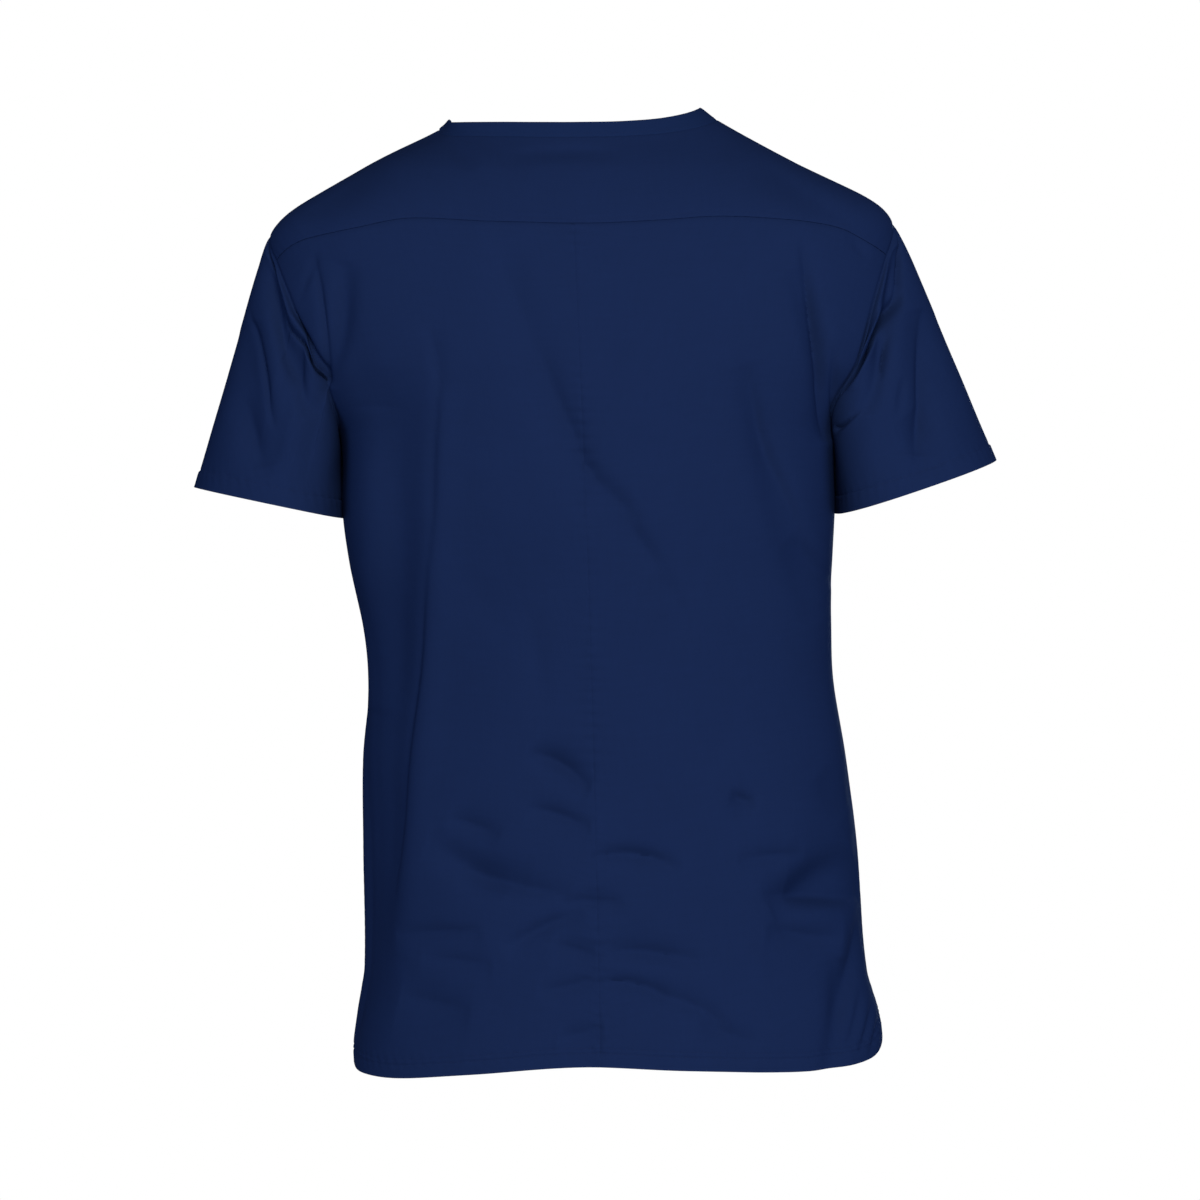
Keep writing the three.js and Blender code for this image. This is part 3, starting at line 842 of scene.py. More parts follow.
def add_node(
    tree: bpy.types.NodeTree,
    kind: str,
    links: dict[str | int, bpy.types.NodeSocket] | None = None,
    **settings: object,
) -> bpy.types.Node:
    """Add a shader node.

    Args:
        tree: The material's node tree.
        kind: The node's type.
        links: What feeds each of its inputs.
        **settings: Values for its properties, or for its inputs, with underscores for spaces.

    Returns:
        The node.
    """
    node = tree.nodes.new(kind)
    for key, value in settings.items():
        if hasattr(node, key):
            setattr(node, key, value)
        else:
            node.inputs[key.replace("_", " ")].default_value = value
    for key, source in (links or {}).items():
        tree.links.new(source, node.inputs[key])
    return node


def math_node(
    tree: bpy.types.NodeTree,
    operation: str,
    first: bpy.types.NodeSocket,
    second: bpy.types.NodeSocket | float | None = None,
) -> bpy.types.NodeSocket:
    """Add a math node.

    Args:
        tree: The material's node tree.
        operation: What it does.
        first: What feeds its first input.
        second: What feeds its second input, or the number set there.

    Returns:
        Its output.
    """
    node = add_node(tree, "ShaderNodeMath", {0: first}, operation=operation)
    if isinstance(second, float):
        node.inputs[1].default_value = second
    elif second is not None:
        tree.links.new(second, node.inputs[1])
    return node.outputs[0]


def new_material(
    name: str, **values: float | tuple[float, ...]
) -> tuple[bpy.types.Material, bpy.types.NodeTree, bpy.types.Node]:
    """Make a material.

    Args:
        name: Its name.
        **values: Values for its shader's inputs, with underscores for spaces.

    Returns:
        The material, its node tree and its shader.
    """
    material = bpy.data.materials.new(name)
    material.use_nodes = True
    shader = material.node_tree.nodes["Principled BSDF"]
    for key, value in values.items():
        shader.inputs[key.replace("_", " ")].default_value = value
    return material, material.node_tree, shader


def two_tone(
    tree: bpy.types.NodeTree,
    share: bpy.types.NodeSocket,
    shader: bpy.types.Node,
    low: str,
    high: str,
) -> None:
    """Colour a shader with a mix of two colours.

    Args:
        tree: The material's node tree.
        share: How much of the second colour is in the mix.
        shader: The shader.
        low: The first colour, in hex.
        high: The second colour, in hex.
    """
    mix = add_node(tree, "ShaderNodeMix", {0: share}, data_type="RGBA")
    mix.inputs[6].default_value = linear(low)
    mix.inputs[7].default_value = linear(high)
    tree.links.new(mix.outputs[2], shader.inputs["Base Color"])


@dataclass(frozen=True)
class Poplin:
    """Navy polyester and cotton poplin, piece dyed: a fine plain weave with a soft, dull face.

    To the eye it is matt, with a slight streakiness where threads are thicker. Real threads lie
    about 0.25 mm apart, too fine to show here, so the weave is drawn four times as coarse and very
    shallow.
    """

    name: str = "navy_poplin"
    colour: str = "162447"
    dark: str = "142141"
    roughness: float = 0.85
    shine: float = 0.04
    shine_colour: str = "b4c4ff"
    thread: float = 1.0
    weave_depth: float = 0.12
    slub: float = 3.0
    slub_stretch: float = 0.12
    slub_depth: float = 0.15

    def make(self) -> bpy.types.Material:
        """Build the material.

        Returns:
            The material, with its weave along each piece's own grain.
        """
        material, tree, shader = new_material(
            self.name,
            Roughness=self.roughness,
            IOR=FIBRE_IOR,
            Specular_IOR_Level=self.shine,
            Specular_Tint=linear(self.shine_colour),
        )
        grain = add_node(tree, "ShaderNodeAttribute", attribute_name="grain").outputs["Vector"]
        split = add_node(tree, "ShaderNodeSeparateXYZ", {0: grain})
        waves = []
        for axis in ("X", "Y"):
            turned = math_node(
                tree, "MULTIPLY", split.outputs[axis], 2 * math.pi / (self.thread * MM)
            )
            waves.append(math_node(tree, "SINE", turned))
        weave = math_node(tree, "MULTIPLY", *waves)
        short, long = 1 / (self.slub * MM), self.slub_stretch / (self.slub * MM)
        streaks = []
        for scale in ((short, long, 1), (long, short, 1)):
            way = add_node(tree, "ShaderNodeMapping", {"Vector": grain})
            way.inputs["Scale"].default_value = scale
            noise = add_node(
                tree, "ShaderNodeTexNoise", {"Vector": way.outputs[0]}, Scale=1.0, Detail=3.0
            )
            streaks.append(noise.outputs[0])
        streak = math_node(tree, "ADD", *streaks)
        cloud = add_node(tree, "ShaderNodeTexNoise", {"Vector": grain}, Scale=14.0, Detail=4.0)
        tone = math_node(tree, "ADD", streak, cloud.outputs[0])
        ramp = add_node(tree, "ShaderNodeMapRange", {"Value": tone}, From_Min=0.6, From_Max=2.4)
        two_tone(tree, ramp.outputs[0], shader, self.dark, self.colour)
        normal = None
        for height, distance in ((weave, self.weave_depth), (streak, self.slub_depth)):
            bump = add_node(
                tree, "ShaderNodeBump", {"Height": height}, Strength=0.12, Distance=distance * MM
            )
            if normal is not None:
                tree.links.new(normal, bump.inputs["Normal"])
            normal = bump.outputs[0]
        tree.links.new(normal, shader.inputs["Normal"])
        return material


@dataclass(frozen=True)
class SewingThread:
    """Spun polyester sewing thread, dyed to match: shinier, and a little darker as painted shade.
    """

    name: str = "navy_thread"
    # The thread's two navy tones are darker than the cloth's as painted shade, for the dark lines
    # that stitch grooves show.
    colour: str = "112147"
    dark: str = "0c1a3c"
    roughness: float = 0.7

    def make(self) -> bpy.types.Material:
        """Build the material.

        Returns:
            The material, with a fine twist along the thread.
        """
        material, tree, shader = new_material(
            self.name, Roughness=self.roughness, IOR=FIBRE_IOR, Specular_IOR_Level=0.1
        )
        place = add_node(tree, "ShaderNodeTexCoord").outputs["Object"]
        twist = add_node(tree, "ShaderNodeTexNoise", {"Vector": place}, Scale=2500.0, Detail=1.0)
        two_tone(tree, twist.outputs[0], shader, self.dark, self.colour)
        return material


# A stitch's rings: the share of its length from its middle, of its girth, and its height in mm.
STITCH_RINGS = (
    (-0.5, 0.12, -0.25),
    (-0.3, 0.9, -0.05),
    (0.0, 1.0, 0.02),
    (0.3, 0.9, -0.05),
    (0.5, 0.12, -0.25),
)


@dataclass(frozen=True)
class StitchRow:
    """Lockstitch: short grains of thread, each sunk into the cloth at both ends."""

    pitch: float = 3.0
    length: float = 2.5
    width: float = 0.5
    height: float = 0.34
    sides: int = 5

    def grains(self, line: Line) -> tuple[Array, Array]:
        """Lay stitches along a line.

        Args:
            line: The line on the cloth.

        Returns:
            The points in mm, and faces of four points.
        """
        start, end, out = line.even(self.pitch)
        way = unit(end - start)
        aside = unit(np.cross(way, out))
        centre = (start + end) / 2
        rings = []
        for along, girth, up in STITCH_RINGS:
            middle = centre + way * (along * self.length) + out * up
            for side in range(self.sides):
                turn = 2 * math.pi * side / self.sides
                rings.append(
                    middle
                    + aside * (math.cos(turn) * girth * self.width / 2)
                    + out * (math.sin(turn) * girth * self.height / 2)
                )
        points = np.stack(rings, axis=1)
        faces = []
        for ring in range(len(STITCH_RINGS) - 1):
            for side in range(self.sides):
                a, b = ring * self.sides + side, ring * self.sides + (side + 1) % self.sides
                faces.append((a, b, b + self.sides, a + self.sides))
        shift = np.arange(len(points))[:, None, None] * points.shape[1]
        return points.reshape(-1, 3), (np.array(faces)[None] + shift).reshape(-1, 4)

    def make(
        self, name: str, lines: Sequence[Line], material: bpy.types.Material
    ) -> bpy.types.Object:
        """Sew several lines as one joined mesh.

        Args:
            name: The object's name.
            lines: The lines to stitch.
            material: The thread.

        Returns:
            The stitches.
        """
        verts, quads, count = [], [], 0
        for line in lines:
            if len(line.points) < 2:
                continue
            points, faces = self.grains(line)
            verts.append(points)
            quads.append(faces + count)
            count += len(points)
        made = make_mesh(name, np.concatenate(verts) * MM, np.concatenate(quads))
        made.data.materials.append(material)
        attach(made, "root")
        return made


@dataclass
class SewnPiece:
    """A piece of the top that stands for one CAD node, with what the maker cut for it."""

    node: str
    slot: str
    stitches: str
    flat: tuple[float, float]
    rests_on: tuple[str, ...]
    area: float | None = None

    def dress(
        self,
        grid: ClothGrid,
        rows: Sequence[Line],
        material: bpy.types.Material,
        thread: bpy.types.Material,
    ) -> None:
        """Make the piece's stitching and its shell, hide its CAD node and log its face count.

        Args:
            grid: Its outer face.
            rows: Where it is stitched.
            material: Its cloth.
            thread: Its thread.
        """
        sewn = StitchRow().make(self.stitches, rows, thread)
        made = grid.shell()
        made.data.materials.append(material)
        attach(made, "root")
        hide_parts(self.node)
        log.info("%s: %d faces", made.name, len(made.data.polygons))


# Where the topstitching beside the yoke and neck seams lies, and where a vent's ends, in mm.
YOKE_STITCH = 4.0
NECK_STITCH = 3.0
VENT_STITCH_END = 700.0

SEAM_CENTRE = Seam(dip=0.4, width=0.8, pucker=0.8, pucker_length=9.5, pucker_reach=7.0)
SEAM_ARMHOLE = Seam(dip=1.1, width=2.2, pucker=0.12)
SEAM_YOKE_BELOW = Seam(dip=0.9, width=1.1, pucker=0.14)
SEAM_YOKE_ABOVE = Seam(dip=0.25, width=0.6, pucker=0.14, stitch_rows=(YOKE_STITCH,))
SEAM_NECK = Seam(dip=0.35, width=0.9, pucker=0.1)
HEM_BODY = Hem()
HEM_SLEEVE = Hem(rise=0.7, stitch_rows=(14.2,), groove=1.1, pucker=0.16)
HEM_VENT = Hem(depth=8.0, rise=0.5, stitch_rows=(7.0,), pucker=0.12)


@dataclass(frozen=True)
class BodyPanels:
    """The yoke, the two halves of the back and the front.

    coarse and fine are the grids' steps, far from the edges and at them. hem_run is how far above
    the hem the steps turn fine, vent_blend how soon a side seam turns into its vent's hem, and
    hem_pressed how much flatter that hem is where the bottom hem crosses it.
    """

    torso: Torso
    coarse: float = 2.35
    fine: float = 0.8
    front_coarse: float = 3.3
    back_width: float = 235.0
    front_width: float = 440.0
    skirt_length: float = 456.0
    hem_run: float = 22.0
    hem_steps: int = 25
    vent_blend: float = 12.0
    hem_pressed: float = 0.7
    yoke_fine: float = 1.4
    yoke_coarse: float = 2.5
    shoulder_coarse: float = 2.8
    yoke_steps: int = 22
    back_steps: int = 84
    front_steps: int = 58

    def shoulder_levels(self, coarse: float, end: float, steps: int) -> Array:
        """Divide a side edge, along the shoulder seam and then down the armhole.

        Args:
            coarse: The step in the middle of the shoulder seam.
            end: How far round the armhole to go, in degrees.
            steps: The number of steps along the armhole.

        Returns:
            Levels from the neck down.
        """
        seam = SHOULDER_LEVEL - NECKBAND_WIDTH
        armhole = armhole_level(np.linspace(0, end, steps + 1))
        along_seam = NECKBAND_WIDTH + seam * graded(seam, coarse, self.fine)
        return np.concatenate([along_seam, armhole[1:]])

    def grid(
        self, name: str, column: Array, level: Array, angle: Array, finishes: dict[Edge, Seam | Hem]
    ) -> ClothGrid:
        """Lay a grid over the torso and finish its edges.

        Args:
            name: The piece's name.
            column: Places across it.
            level: Levels, by row and column.
            angle: Angles, by row and column.
            finishes: How its edges are sewn. A side edge turns from seam to vent hem.

        Returns:
            The grid.
        """
        points, normals = self.torso.cloth(angle, level)
        made = ClothGrid(name, points, normals, finishes)
        sides = [e for e in (Edge.FIRST, Edge.LAST) if e in finishes]
        open_share = smoothstep(level, VENT_LEVEL, VENT_LEVEL + self.vent_blend)
        hem_free = {e: 1 - open_share for e in sides}
        if Edge.BOTTOM in finishes and isinstance(finishes[Edge.BOTTOM], Hem):
            for edge in sides:
                if abs(column[0 if edge is Edge.FIRST else -1]) == 1:
                    lift = HEM_VENT.lift(made.away[edge], made.away[Edge.TOP]) * open_share
                    above_hem = smoothstep(made.away[Edge.BOTTOM], HEM_DEPTH - 2, HEM_DEPTH + 1)
                    lift *= 1 - self.hem_pressed * (1 - above_hem)
                    made.points = made.points + normals * lift[..., None]
                else:
                    hem_free[edge] = np.ones_like(level)
        made.finish_edges(hem_free)
        return made

    def yoke(self) -> ClothGrid:
        """Build the yoke, from the back neck over the shoulders to the yoke seam.

        Returns:
            The grid.
        """
        half = graded(self.back_width, self.coarse, self.yoke_fine)
        column = np.concatenate([-half[::-1], half[1:]])
        edge = self.shoulder_levels(self.yoke_coarse, YOKE_END, self.yoke_steps)
        share = ((edge - edge[0]) / (edge[-1] - edge[0]))[:, None]
        end = math.degrees(float(side_edge(armhole_level(YOKE_END), Half.BACK)))
        level = lerp(NECKBAND_WIDTH, YOKE_SEAM(column * end)[None], share)
        angle = back_angle(column[None], level, self.torso)
        finishes = {
            Edge.TOP: SEAM_NECK,
            Edge.BOTTOM: SEAM_YOKE_ABOVE,
            Edge.FIRST: SEAM_ARMHOLE,
            Edge.LAST: SEAM_ARMHOLE,
        }
        return self.grid("yoke", column, level, angle, finishes)

    def skirt(self, hem: Array, coarse: float) -> Array:
        """Divide the cloth below the underarm.

        Args:
            hem: The hem's level, by column.
            coarse: The step far from the hem.

        Returns:
            Levels by row and column, the first just below the underarm.
        """
        plain = np.linspace(0, 1, int(self.skirt_length / coarse))[1:]
        turned = np.linspace(0, 1, self.hem_steps + 1)[1:]
        start = (hem - self.hem_run)[None]
        above = lerp(UNDERARM_LEVEL, start, plain[:, None])
        return np.concatenate([above, lerp(start, hem[None], turned[:, None])])

    def back(self, side: Side) -> ClothGrid:
        """Build one half of the back, from the yoke seam to the hem.

        Args:
            side: The half.

        Returns:
            The grid.
        """
        column = graded(self.back_width, self.coarse, self.fine) * side.value
        if side is Side.LEFT:
            column = column[::-1]
        end = math.degrees(float(side_edge(armhole_level(YOKE_END), Half.BACK)))
        edge = armhole_level(np.linspace(YOKE_END, 180, self.back_steps + 1))
        share = ((edge - edge[0]) / (edge[-1] - edge[0]))[:, None]
        upper = lerp(YOKE_SEAM(column * end)[None], UNDERARM_LEVEL, share)
        level = np.concatenate([upper, self.skirt(BACK_HEM(column * 90), self.coarse)])
        angle = back_angle(column[None], level, self.torso)
        finishes = {Edge.TOP: SEAM_YOKE_BELOW, Edge.BOTTOM: HEM_BODY}
        centre, outer = (Edge.FIRST, Edge.LAST) if side is Side.RIGHT else (Edge.LAST, Edge.FIRST)
        finishes |= {centre: SEAM_CENTRE, outer: SEAM_ARMHOLE}
        return self.grid(f"back_panel_{side.name.lower()}", column, level, angle, finishes)

    def front(self) -> ClothGrid:
        """Build the front, from the V neckline and the shoulder seams to the hem.

        Returns:
            The grid.
        """
        column = 1 - 2 * graded(self.front_width, self.front_coarse, self.fine)
        column = column - column[len(column) // 2] * (1 - np.abs(column))
        edge = self.shoulder_levels(self.shoulder_coarse, 180, self.front_steps)
        share = ((edge - edge[0]) / (edge[-1] - edge[0]))[:, None]
        top = neck_level(column, NECKBAND_WIDTH, -V_NECK_DEPTH, self.torso)
        above = lerp(top[None], UNDERARM_LEVEL, share)
        hem = np.full_like(column, FRONT_HEM_LEVEL)
        level = np.concatenate([above, self.skirt(hem, self.front_coarse)])
        angle = front_angle(column[None], level)
        finishes = {
            Edge.TOP: SEAM_NECK,
            Edge.BOTTOM: HEM_BODY,
            Edge.FIRST: SEAM_ARMHOLE,
            Edge.LAST: SEAM_ARMHOLE,
        }
        return self.grid("front_panel", column, level, angle, finishes)


@dataclass(frozen=True)
class Neckband:
    """A strip folded lengthwise and sewn round the neck, with a soft rolled edge.

    stand is how far it stands out, and roll and roundness shape that. point_share is how many of
    its widths the free edge's point lies above the seam's, in the V.
    """

    torso: Torso
    width: float = NECKBAND_WIDTH
    thickness: float = 1.9
    stand: float = 0.55
    roll: float = 1.05
    roundness: float = 0.6
    point_share: float = 1.7
    coarse: float = 1.2
    fine: float = 0.5
    run: float = 3.0
    back_steps: int = 150
    front_steps: int = 190

    def build(self) -> ClothGrid:
        """Build the band over the back neck and down both sides of the V.

        Returns:
            The grid, rows from the free edge to the seam, with the edge rolled over.
        """
        back = np.linspace(-1, 1, self.back_steps + 1)
        front = -np.linspace(-1, 1, self.front_steps + 1)[1:-1]
        base_back = np.full_like(back, self.width)
        base_front = neck_level(front, self.width, -V_NECK_DEPTH, self.torso)
        point = -V_NECK_DEPTH + self.width * self.point_share
        inner_front = neck_level(front, 0.0, point, self.torso)
        base_level = np.concatenate([base_back, base_front])
        top_level = np.concatenate([np.zeros_like(back), inner_front])
        base_angle = np.concatenate(
            [back_angle(back, base_back, self.torso), front_angle(front, base_front)]
        )
        top_angle = np.concatenate(
            [back_angle(back, np.zeros_like(back), self.torso), front_angle(front, inner_front)]
        )
        share = graded(self.width, self.coarse, self.fine, self.run)[:, None]
        level = lerp(top_level[None], base_level[None], share)
        angle = lerp(top_angle[None], base_angle[None], share)
        points, normals = self.torso.cloth(angle, level)
        crown = self.stand * np.sin(np.pi * np.clip(share * self.roll, 0, 1)) ** self.roundness
        made = ClothGrid(
            "neck_band", points + normals * crown[..., None], normals, {}, True, self.thickness
        )
        seam = Seam(dip=0.3, width=0.7, pucker=0.08)
        lift = seam.lift(made.away[Edge.BOTTOM], made.away[Edge.FIRST])
        made.points = made.points + normals * lift[..., None]
        return made


# The sleeves' large folds, as in the solids. They start and end at degrees round from the crown
# and shares of the way down, and depths are in mm.
SLEEVE_FOLDS = (
    # round0, along0, round1, along1, bow, half-width, depth
    (26, 0.1, 112, 0.42, 0, 0.08, -7),
    (40, 0.04, 116, 0.16, 0.02, 0.06, 3),
    (32, 0.4, 88, 0.8, 0.02, 0.11, -6),
    (-22, 0.08, -126, 0.34, 0.03, 0.08, -9),
    (-46, 0.3, -74, 0.9, 0, 0.15, -5),
)


@dataclass(frozen=True)
class Sleeve:
    """One set-in sleeve, from its armhole to its hem.

    outer and inner are the ends of its hem across and up, slope the way it leaves the shoulder,
    and back_drop how far its hem hangs lower at the back than at the front. press is how far the
    underarm cloth bulges where it rests against the body, and corner how much deeper its hem is
    where it folds in there, between places in degrees from the crown. fullness is how far it
    spreads below the armhole, and lead how long it keeps its way, at the underarm and the crown.
    """

    torso: Torso
    side: Side
    outer: tuple[float, float]
    inner: tuple[float, float]
    slope: tuple[float, float]
    back_drop: float
    creases: tuple[Crease, ...]
    waves: Unevenness
    half_steps: int = 116
    length: float = 215.0
    radius: float = 57.0
    seam_place: float = -15.0
    allowance: float = 3.0
    press: float = 1.2
    press_width: float = 32.0
    corner: float = 0.25
    corner_rise: tuple[float, float] = (70.0, 156.0)
    corner_fall: tuple[float, float] = (161.0, 180.0)
    fullness: float = 0.35
    lead: tuple[float, float] = (0.35, 0.24)
    wander: Wander = Wander((0.8, 19, 33), (0.6, 15, 29, 0.7))

    def loop(self) -> tuple[Array, Array, Array]:
        """Trace the armhole, from the shoulder seam over the back and up the front.

        Returns:
            Its points, the ways out of the torso there, and their places round the sleeve in
            degrees from the crown, the back positive.
        """
        sign = self.side.value
        round_it = np.linspace(0, 180, self.half_steps + 1)
        level = armhole_level(round_it)
        back = self.torso.cloth(sign * side_edge(level, Half.BACK), level)
        front = self.torso.cloth(math.pi - sign * side_edge(level, Half.FRONT), level)
        back_place = lerp(self.seam_place, 180, round_it / 180)
        front_place = lerp(self.seam_place, -180, round_it / 180)
        inner = slice(-2, 0, -1)
        points = np.concatenate([back[0], front[0][inner]])
        normals = np.concatenate([back[1], front[1][inner]])
        return points, normals, np.concatenate([back_place, front_place[inner]])

    def form(self, along: Array) -> tuple[Array, Array, Array]:
        """Place the sleeve's smooth form.

        Args:
            along: Shares of the way from armhole to hem.

        Returns:
            Points and ways out by row and column, and the columns' places round the sleeve.
        """
        sign = self.side.value
        start, seam_normal, place = self.loop()
        turn = np.radians(place)[:, None]
        outer, inner = np.array(self.outer), np.array(self.inner)
        middle, reach = (outer + inner) / 2, (outer - inner) / 2
        centre = np.array([middle[0], SLEEVE_FORWARD, middle[1]])
        crown_way = np.array([reach[0], 0, reach[1]])
        back_way = np.array([0, -SLEEVE_HALF_DEPTH, -self.back_drop])
        away = np.abs(place)[:, None]
        corner = self.corner * smoothstep(away, *self.corner_rise)
        corner = corner * (1 - smoothstep(away, *self.corner_fall)) * np.sign(turn)
        end = centre + crown_way * np.cos(turn) + back_way * (np.sin(turn) + corner)
        crown = (1 + np.cos(turn)) / 2
        slope = np.array([self.slope[0], 0, self.slope[1]])
        leave = unit(lerp(np.array([0, 0, -1.0]), slope, crown**2))
        leave[:, 1] -= self.fullness * np.sin(turn[:, 0])
        length = np.linalg.norm(end - start, axis=1, keepdims=True)
        lead = lerp(*self.lead, crown) * length

        def at(a: Array) -> Array:
            """Return the form's points at shares a of the way."""
            a = a[:, None, None]
            made = start * (2 * a**3 - 3 * a**2 + 1) + leave * lead * (a**3 - 2 * a**2 + a)
            return made + end * (3 * a**2 - 2 * a**3) + (end - start) * (a**3 - a**2)

        points = at(along)
        down = at(along + 0.02) - at(along - 0.02)
        round_it = np.roll(points, -1, axis=1) - np.roll(points, 1, axis=1)
        normals = unit(np.cross(round_it, down) * sign)
        blend = (1 - smoothstep(along, 0, 0.05))[:, None, None] * crown[None]
        return points, unit(lerp(normals, seam_normal[None], blend)), place

    def build(self) -> ClothGrid:
        """Build the sleeve.

        Returns:
            The grid, its columns running the same way round as the body's.
        """
        along = graded(self.length, 2.2, 0.9, 26.0)
        points, normals, place = self.form(along)
        flat_place, share = np.broadcast_arrays(place[None], along[:, None])
        lift = np.zeros(share.shape)
        for round0, along0, round1, along1, bow, width, depth in SLEEVE_FOLDS:
            ends = (round0 / 180, along0, round1 / 180, along1)
            fold = Crease(*ends, depth, width, width, bow, ends=0.5)
            lift += fold.height(flat_place / 180, share)
        lift *= smoothstep(share, 0, 0.08) * (1 - smoothstep(share, 0.8, 1))
        u = -self.side.value * np.radians(flat_place) * self.radius
        v = -share * self.length
        wander = self.wander(u, v) * smoothstep(-v, 40, 100)
        fine = crease_heights(self.creases, u + WANDER_ACROSS * wander, v + wander)
        round_fade = 1 - smoothstep(np.abs(flat_place), 165, 180)
        near = np.exp(-(((180 - np.abs(flat_place)) / self.press_width) ** 2))
        lift += self.press * near * smoothstep(share, 0, 0.2)
        lift += (fine + self.waves(u, v) * round_fade) * smoothstep(share, 0, 0.03)
        points = points + normals * lift[..., None]
        if self.side is Side.RIGHT:
            points, normals = points[:, ::-1], normals[:, ::-1]
        name = f"sleeve_panel_{self.side.name.lower()}"
        finishes = {Edge.TOP: SEAM_ARMHOLE, Edge.BOTTOM: HEM_SLEEVE}
        made = ClothGrid(name, points, normals, finishes, closed=True)
        made.finish_edges()
        return self.tucked(made)

    def tucked(self, grid: ClothGrid) -> ClothGrid:
        """Carry the sleeve's edge on under the body, as a seam allowance, so that no slit is left.

        Args:
            grid: The sleeve, from the armhole seam down.

        Returns:
            The sleeve with one more row, under the body's cloth.
        """
        start, out, _ = self.loop()
        inward = unit(np.cross(np.roll(start, -1, axis=0) - np.roll(start, 1, axis=0), out))
        inward *= -np.sign(inward[0, 0]) * self.side.value
        if self.side is Side.RIGHT:
            inward, out = inward[::-1], out[::-1]
        under = grid.points[0] + inward * self.allowance - out * 2 * grid.thickness
        points = np.concatenate([under[None], grid.points])
        return ClothGrid(grid.name, points, np.concatenate([out[None], grid.normals]), closed=True)


LEFT_SLEEVE_CREASES = creases(
    (10, -4, 76, -40, -5.5, 3.4, 4.4, 1, 1.6, 0.8),
    (64, -47, 134, 10, -7.5, 3.4, 4, 0, 1.6, 0.5),
    (60, -26, 112, -4, 1.6, 7, 7),
    (34, -28, 92, -86, -3.8, 7, 6, -5, 1.6),
    (26, -80, 84, -140, -5, 5, 4, 5, 1.4),
    (42, -134, 87, -188, -5.6, 10, 14, 2, 1.7),
    (112, -60, 122, -190, -2.2, 12, 12),
    (-40, -20, -110, -70, -4.2, 6, 5, -3, 1.5),
    (-30, -60, -70, -150, -4.2, 6, 6, -2, 1.5),
    (-80, -130, -90, -200, -3.6, 12, 12),
)
RIGHT_SLEEVE_CREASES = creases(
    (-4, -2, -50, -60, -4.6, 3, 3.5, 2, 1.5, 0.6),
    (-42, -62, -122, -8, -12, 4.5, 5.5, 0, 1.7, 0.4),
    (-56, -38, -110, -2, 2.8, 5, 5),
    (-28, -84, -88, -184, -5, 7, 5, -3, 1.4),
    (-70, -138, -84, -204, -5.2, 13, 13),
    (-66, -65, -89, -85, -4, 3, 4, 0, 1.4),
    (-71, -106, -86, -132, -2, 5, 5),
    (-142, -50, -112, -82, -3.6, 3, 3, -8, 1.4),
    (-100, -110, -104, -180, -1.8, 12, 12),
    (36, -22, 112, -74, -4.2, 5, 6, 3, 1.5),
    (34, -70, 62, -160, -4.2, 6, 6, 2, 1.5),
    (80, -136, 88, -200, -3.6, 12, 12),
)


# Each light's name, place, size, power in watts and colour.
LIGHTS = (
    ("key", (0.3, -3.1, 0.7), 1.5, 106.0, KEY_COLOUR),
    ("left", (-3.2, -1.8, -0.3), 2.0, 33.0, FILL_COLOUR),
    ("right", (3.2, -1.6, -0.3), 2.0, 37.0, FILL_COLOUR),
    ("behind", (0.6, 3.2, -0.1), 1.6, 40.0, FILL_COLOUR),
)


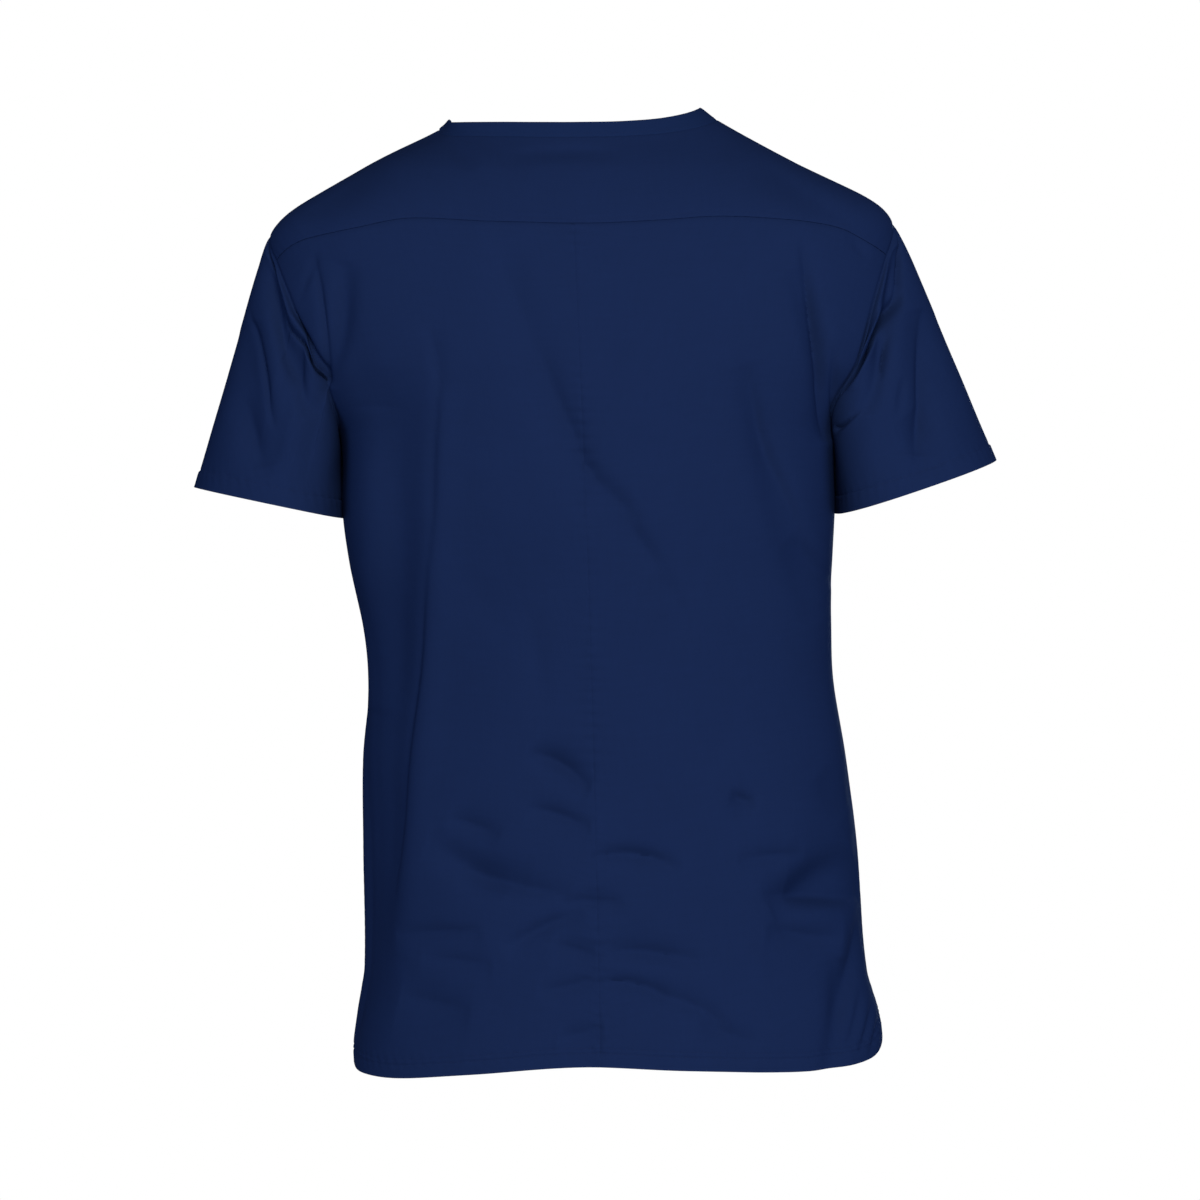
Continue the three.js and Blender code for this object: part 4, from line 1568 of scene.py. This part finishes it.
@dataclass(frozen=True)
class Studio:
    """A pale floor, soft light and the camera that took the photo."""

    camera_distance: float = 3.0
    camera_across: float = 0.0176
    camera_height: float = -0.3674
    lens: float = 114.77
    floor_height: float = -1.05
    floor_radius: float = 1.3
    aim: tuple[float, float, float] = (0.02, 0.0, -0.37)
    fill: float = 0.1

    def camera(self) -> None:
        """Place the camera level with the top's middle, straight behind the wearer."""
        data = bpy.data.cameras.new("camera")
        data.lens = self.lens
        data.sensor_width = 36.0
        made = bpy.data.objects.new("camera", data)
        made.location = (self.camera_across, -self.camera_distance, self.camera_height)
        made.rotation_euler = (math.pi / 2, 0, 0)
        bpy.context.scene.collection.objects.link(made)
        bpy.context.scene.camera = made

    def light(
        self,
        name: str,
        place: tuple[float, float, float],
        size: float,
        power: float,
        colour: tuple[float, float, float],
    ) -> None:
        """Hang one soft light, aimed at the top's middle.

        Args:
            name: Its name.
            place: Where it hangs, in metres.
            size: Its side, in metres.
            power: Its power, in watts.
            colour: Its colour.
        """
        data = bpy.data.lights.new(name, "AREA")
        data.shape = "SQUARE"
        data.size = size
        data.energy = power
        data.color = colour
        made = bpy.data.objects.new(name, data)
        made.location = place
        aim = Vector(self.aim) - Vector(place)
        made.rotation_euler = aim.to_track_quat("-Z", "Y").to_euler()
        bpy.context.scene.collection.objects.link(made)

    def surroundings(self) -> None:
        """Set the white surroundings: bright to the camera, and dimmer as a light."""
        world = bpy.data.worlds.new("studio")
        world.use_nodes = True
        tree = world.node_tree
        seen = add_node(tree, "ShaderNodeBackground", Color=(1, 1, 1, 1), Strength=1.0)
        cast = add_node(tree, "ShaderNodeBackground", Color=(*FILL_COLOUR, 1), Strength=self.fill)
        ray = add_node(tree, "ShaderNodeLightPath")
        mix = add_node(
            tree,
            "ShaderNodeMixShader",
            {0: ray.outputs["Is Camera Ray"], 1: cast.outputs[0], 2: seen.outputs[0]},
        )
        tree.links.new(mix.outputs[0], tree.nodes["World Output"].inputs["Surface"])
        bpy.context.scene.world = world

    def floor(self) -> None:
        """Lay a pale floor whose edge fades into the surroundings."""
        bpy.ops.mesh.primitive_circle_add(
            vertices=96,
            radius=self.floor_radius,
            fill_type="NGON",
            location=(0, 0, self.floor_height),
        )
        made = bpy.context.object
        made.name = "studio_floor"
        material, tree, shader = new_material(
            "pale_floor", Base_Color=linear("f4f4f2"), Roughness=0.9
        )
        place = add_node(tree, "ShaderNodeTexCoord").outputs["Object"]
        away = add_node(tree, "ShaderNodeVectorMath", {0: place}, operation="LENGTH")
        fade = add_node(
            tree,
            "ShaderNodeMapRange",
            {"Value": away.outputs["Value"]},
            From_Min=0.3,
            From_Max=self.floor_radius,
            interpolation_type="SMOOTHSTEP",
        )
        clear = add_node(tree, "ShaderNodeBsdfTransparent")
        mix = add_node(
            tree,
            "ShaderNodeMixShader",
            {0: fade.outputs[0], 1: shader.outputs[0], 2: clear.outputs[0]},
        )
        tree.links.new(mix.outputs[0], tree.nodes["Material Output"].inputs["Surface"])
        made.data.materials.append(material)

    def build(self) -> None:
        """Set up the studio."""
        self.camera()
        self.surroundings()
        for light in LIGHTS:
            self.light(*light)
        self.floor()
        bpy.context.scene.view_settings.view_transform = "Standard"


def vent_line(points: Array) -> Array:
    """Pick the points of a side edge that lie on the vent, above the hem's own stitching."""
    return (points[:, 2] < -VENT_LEVEL - 2) & (points[:, 2] > -VENT_STITCH_END)


def hem_rows(grid: ClothGrid, sides: Sequence[Edge]) -> list[Line]:
    """Trace a body panel's stitching, along its hem and then down its vents.

    Args:
        grid: The panel.
        sides: Its edges that have a vent.

    Returns:
        The lines to stitch.
    """
    rows = [grid.line(Edge.BOTTOM, away) for away in HEM_BODY.stitch_rows]
    return rows + [grid.line(edge, HEM_VENT.stitch_rows[0], vent_line) for edge in sides]


@dataclass
class ScrubTop:
    """The whole top, built from its pieces in the order a maker sews them."""

    torso: Torso = field(default_factory=Torso)

    def build(self) -> None:
        """Build every piece with its cloth and stitching."""
        cloth = Poplin().make()
        band_cloth = Poplin("navy_poplin_band", colour="152447", dark="132141").make()
        thread = SewingThread().make()
        panels = BodyPanels(self.torso)

        grid = panels.yoke()
        rows = [grid.line(Edge.BOTTOM, YOKE_STITCH)]
        piece = SewnPiece(
            "back_yoke", "cloth", "stitches_yoke", (0.50, 0.16), ("neck_band",), area=0.058
        )
        piece.dress(grid, rows, cloth, thread)

        for side in Side:
            grid = panels.back(side)
            outer = Edge.FIRST if side is Side.LEFT else Edge.LAST
            node = f"back_{side.name.lower()}"
            piece = SewnPiece(
                node, "cloth", f"stitches_{node}", (0.27, 0.665), ("yoke",), area=0.167
            )
            piece.dress(grid, hem_rows(grid, (outer,)), cloth, thread)

        grid = panels.front()
        piece = SewnPiece("front", "cloth", "stitches_front", (0.54, 0.75), ("yoke",), area=0.335)
        piece.dress(grid, hem_rows(grid, (Edge.FIRST, Edge.LAST)), cloth, thread)

        grid = Neckband(self.torso).build()
        piece = SewnPiece(
            "neckband", "neckband_cloth", "stitches_neck", (0.80, 0.014), ("yoke", "front_panel")
        )
        piece.dress(grid, [grid.line(Edge.BOTTOM, NECK_STITCH)], band_cloth, thread)

        sleeves = (
            Sleeve(
                self.torso, Side.LEFT, (-300, -279), (-182.9, -303.5), (-0.5, -0.87), 1.5,
                LEFT_SLEEVE_CREASES, Unevenness(31),
            ),
            Sleeve(
                self.torso, Side.RIGHT, (328.5, -257), (201.7, -299), (0.62, -0.78), 4.5,
                RIGHT_SLEEVE_CREASES, Unevenness(47),
            ),
        )  # fmt: skip
        for sleeve in sleeves:
            grid = sleeve.build()
            word = sleeve.side.name.lower()
            rows = [grid.line(Edge.BOTTOM, away) for away in HEM_SLEEVE.stitch_rows]
            piece = SewnPiece(
                f"sleeve_{word}",
                "cloth",
                f"stitches_sleeve_{word}",
                (0.42, 0.24),
                ("yoke", f"back_panel_{word}"),
                area=0.062,
            )
            piece.dress(grid, rows, cloth, thread)


def main() -> None:
    """Build the studio and the top."""
    logging.basicConfig(level=logging.INFO, format="%(name)s: %(message)s")
    Studio().build()
    ScrubTop().build()


if __name__ == "__main__":
    main()
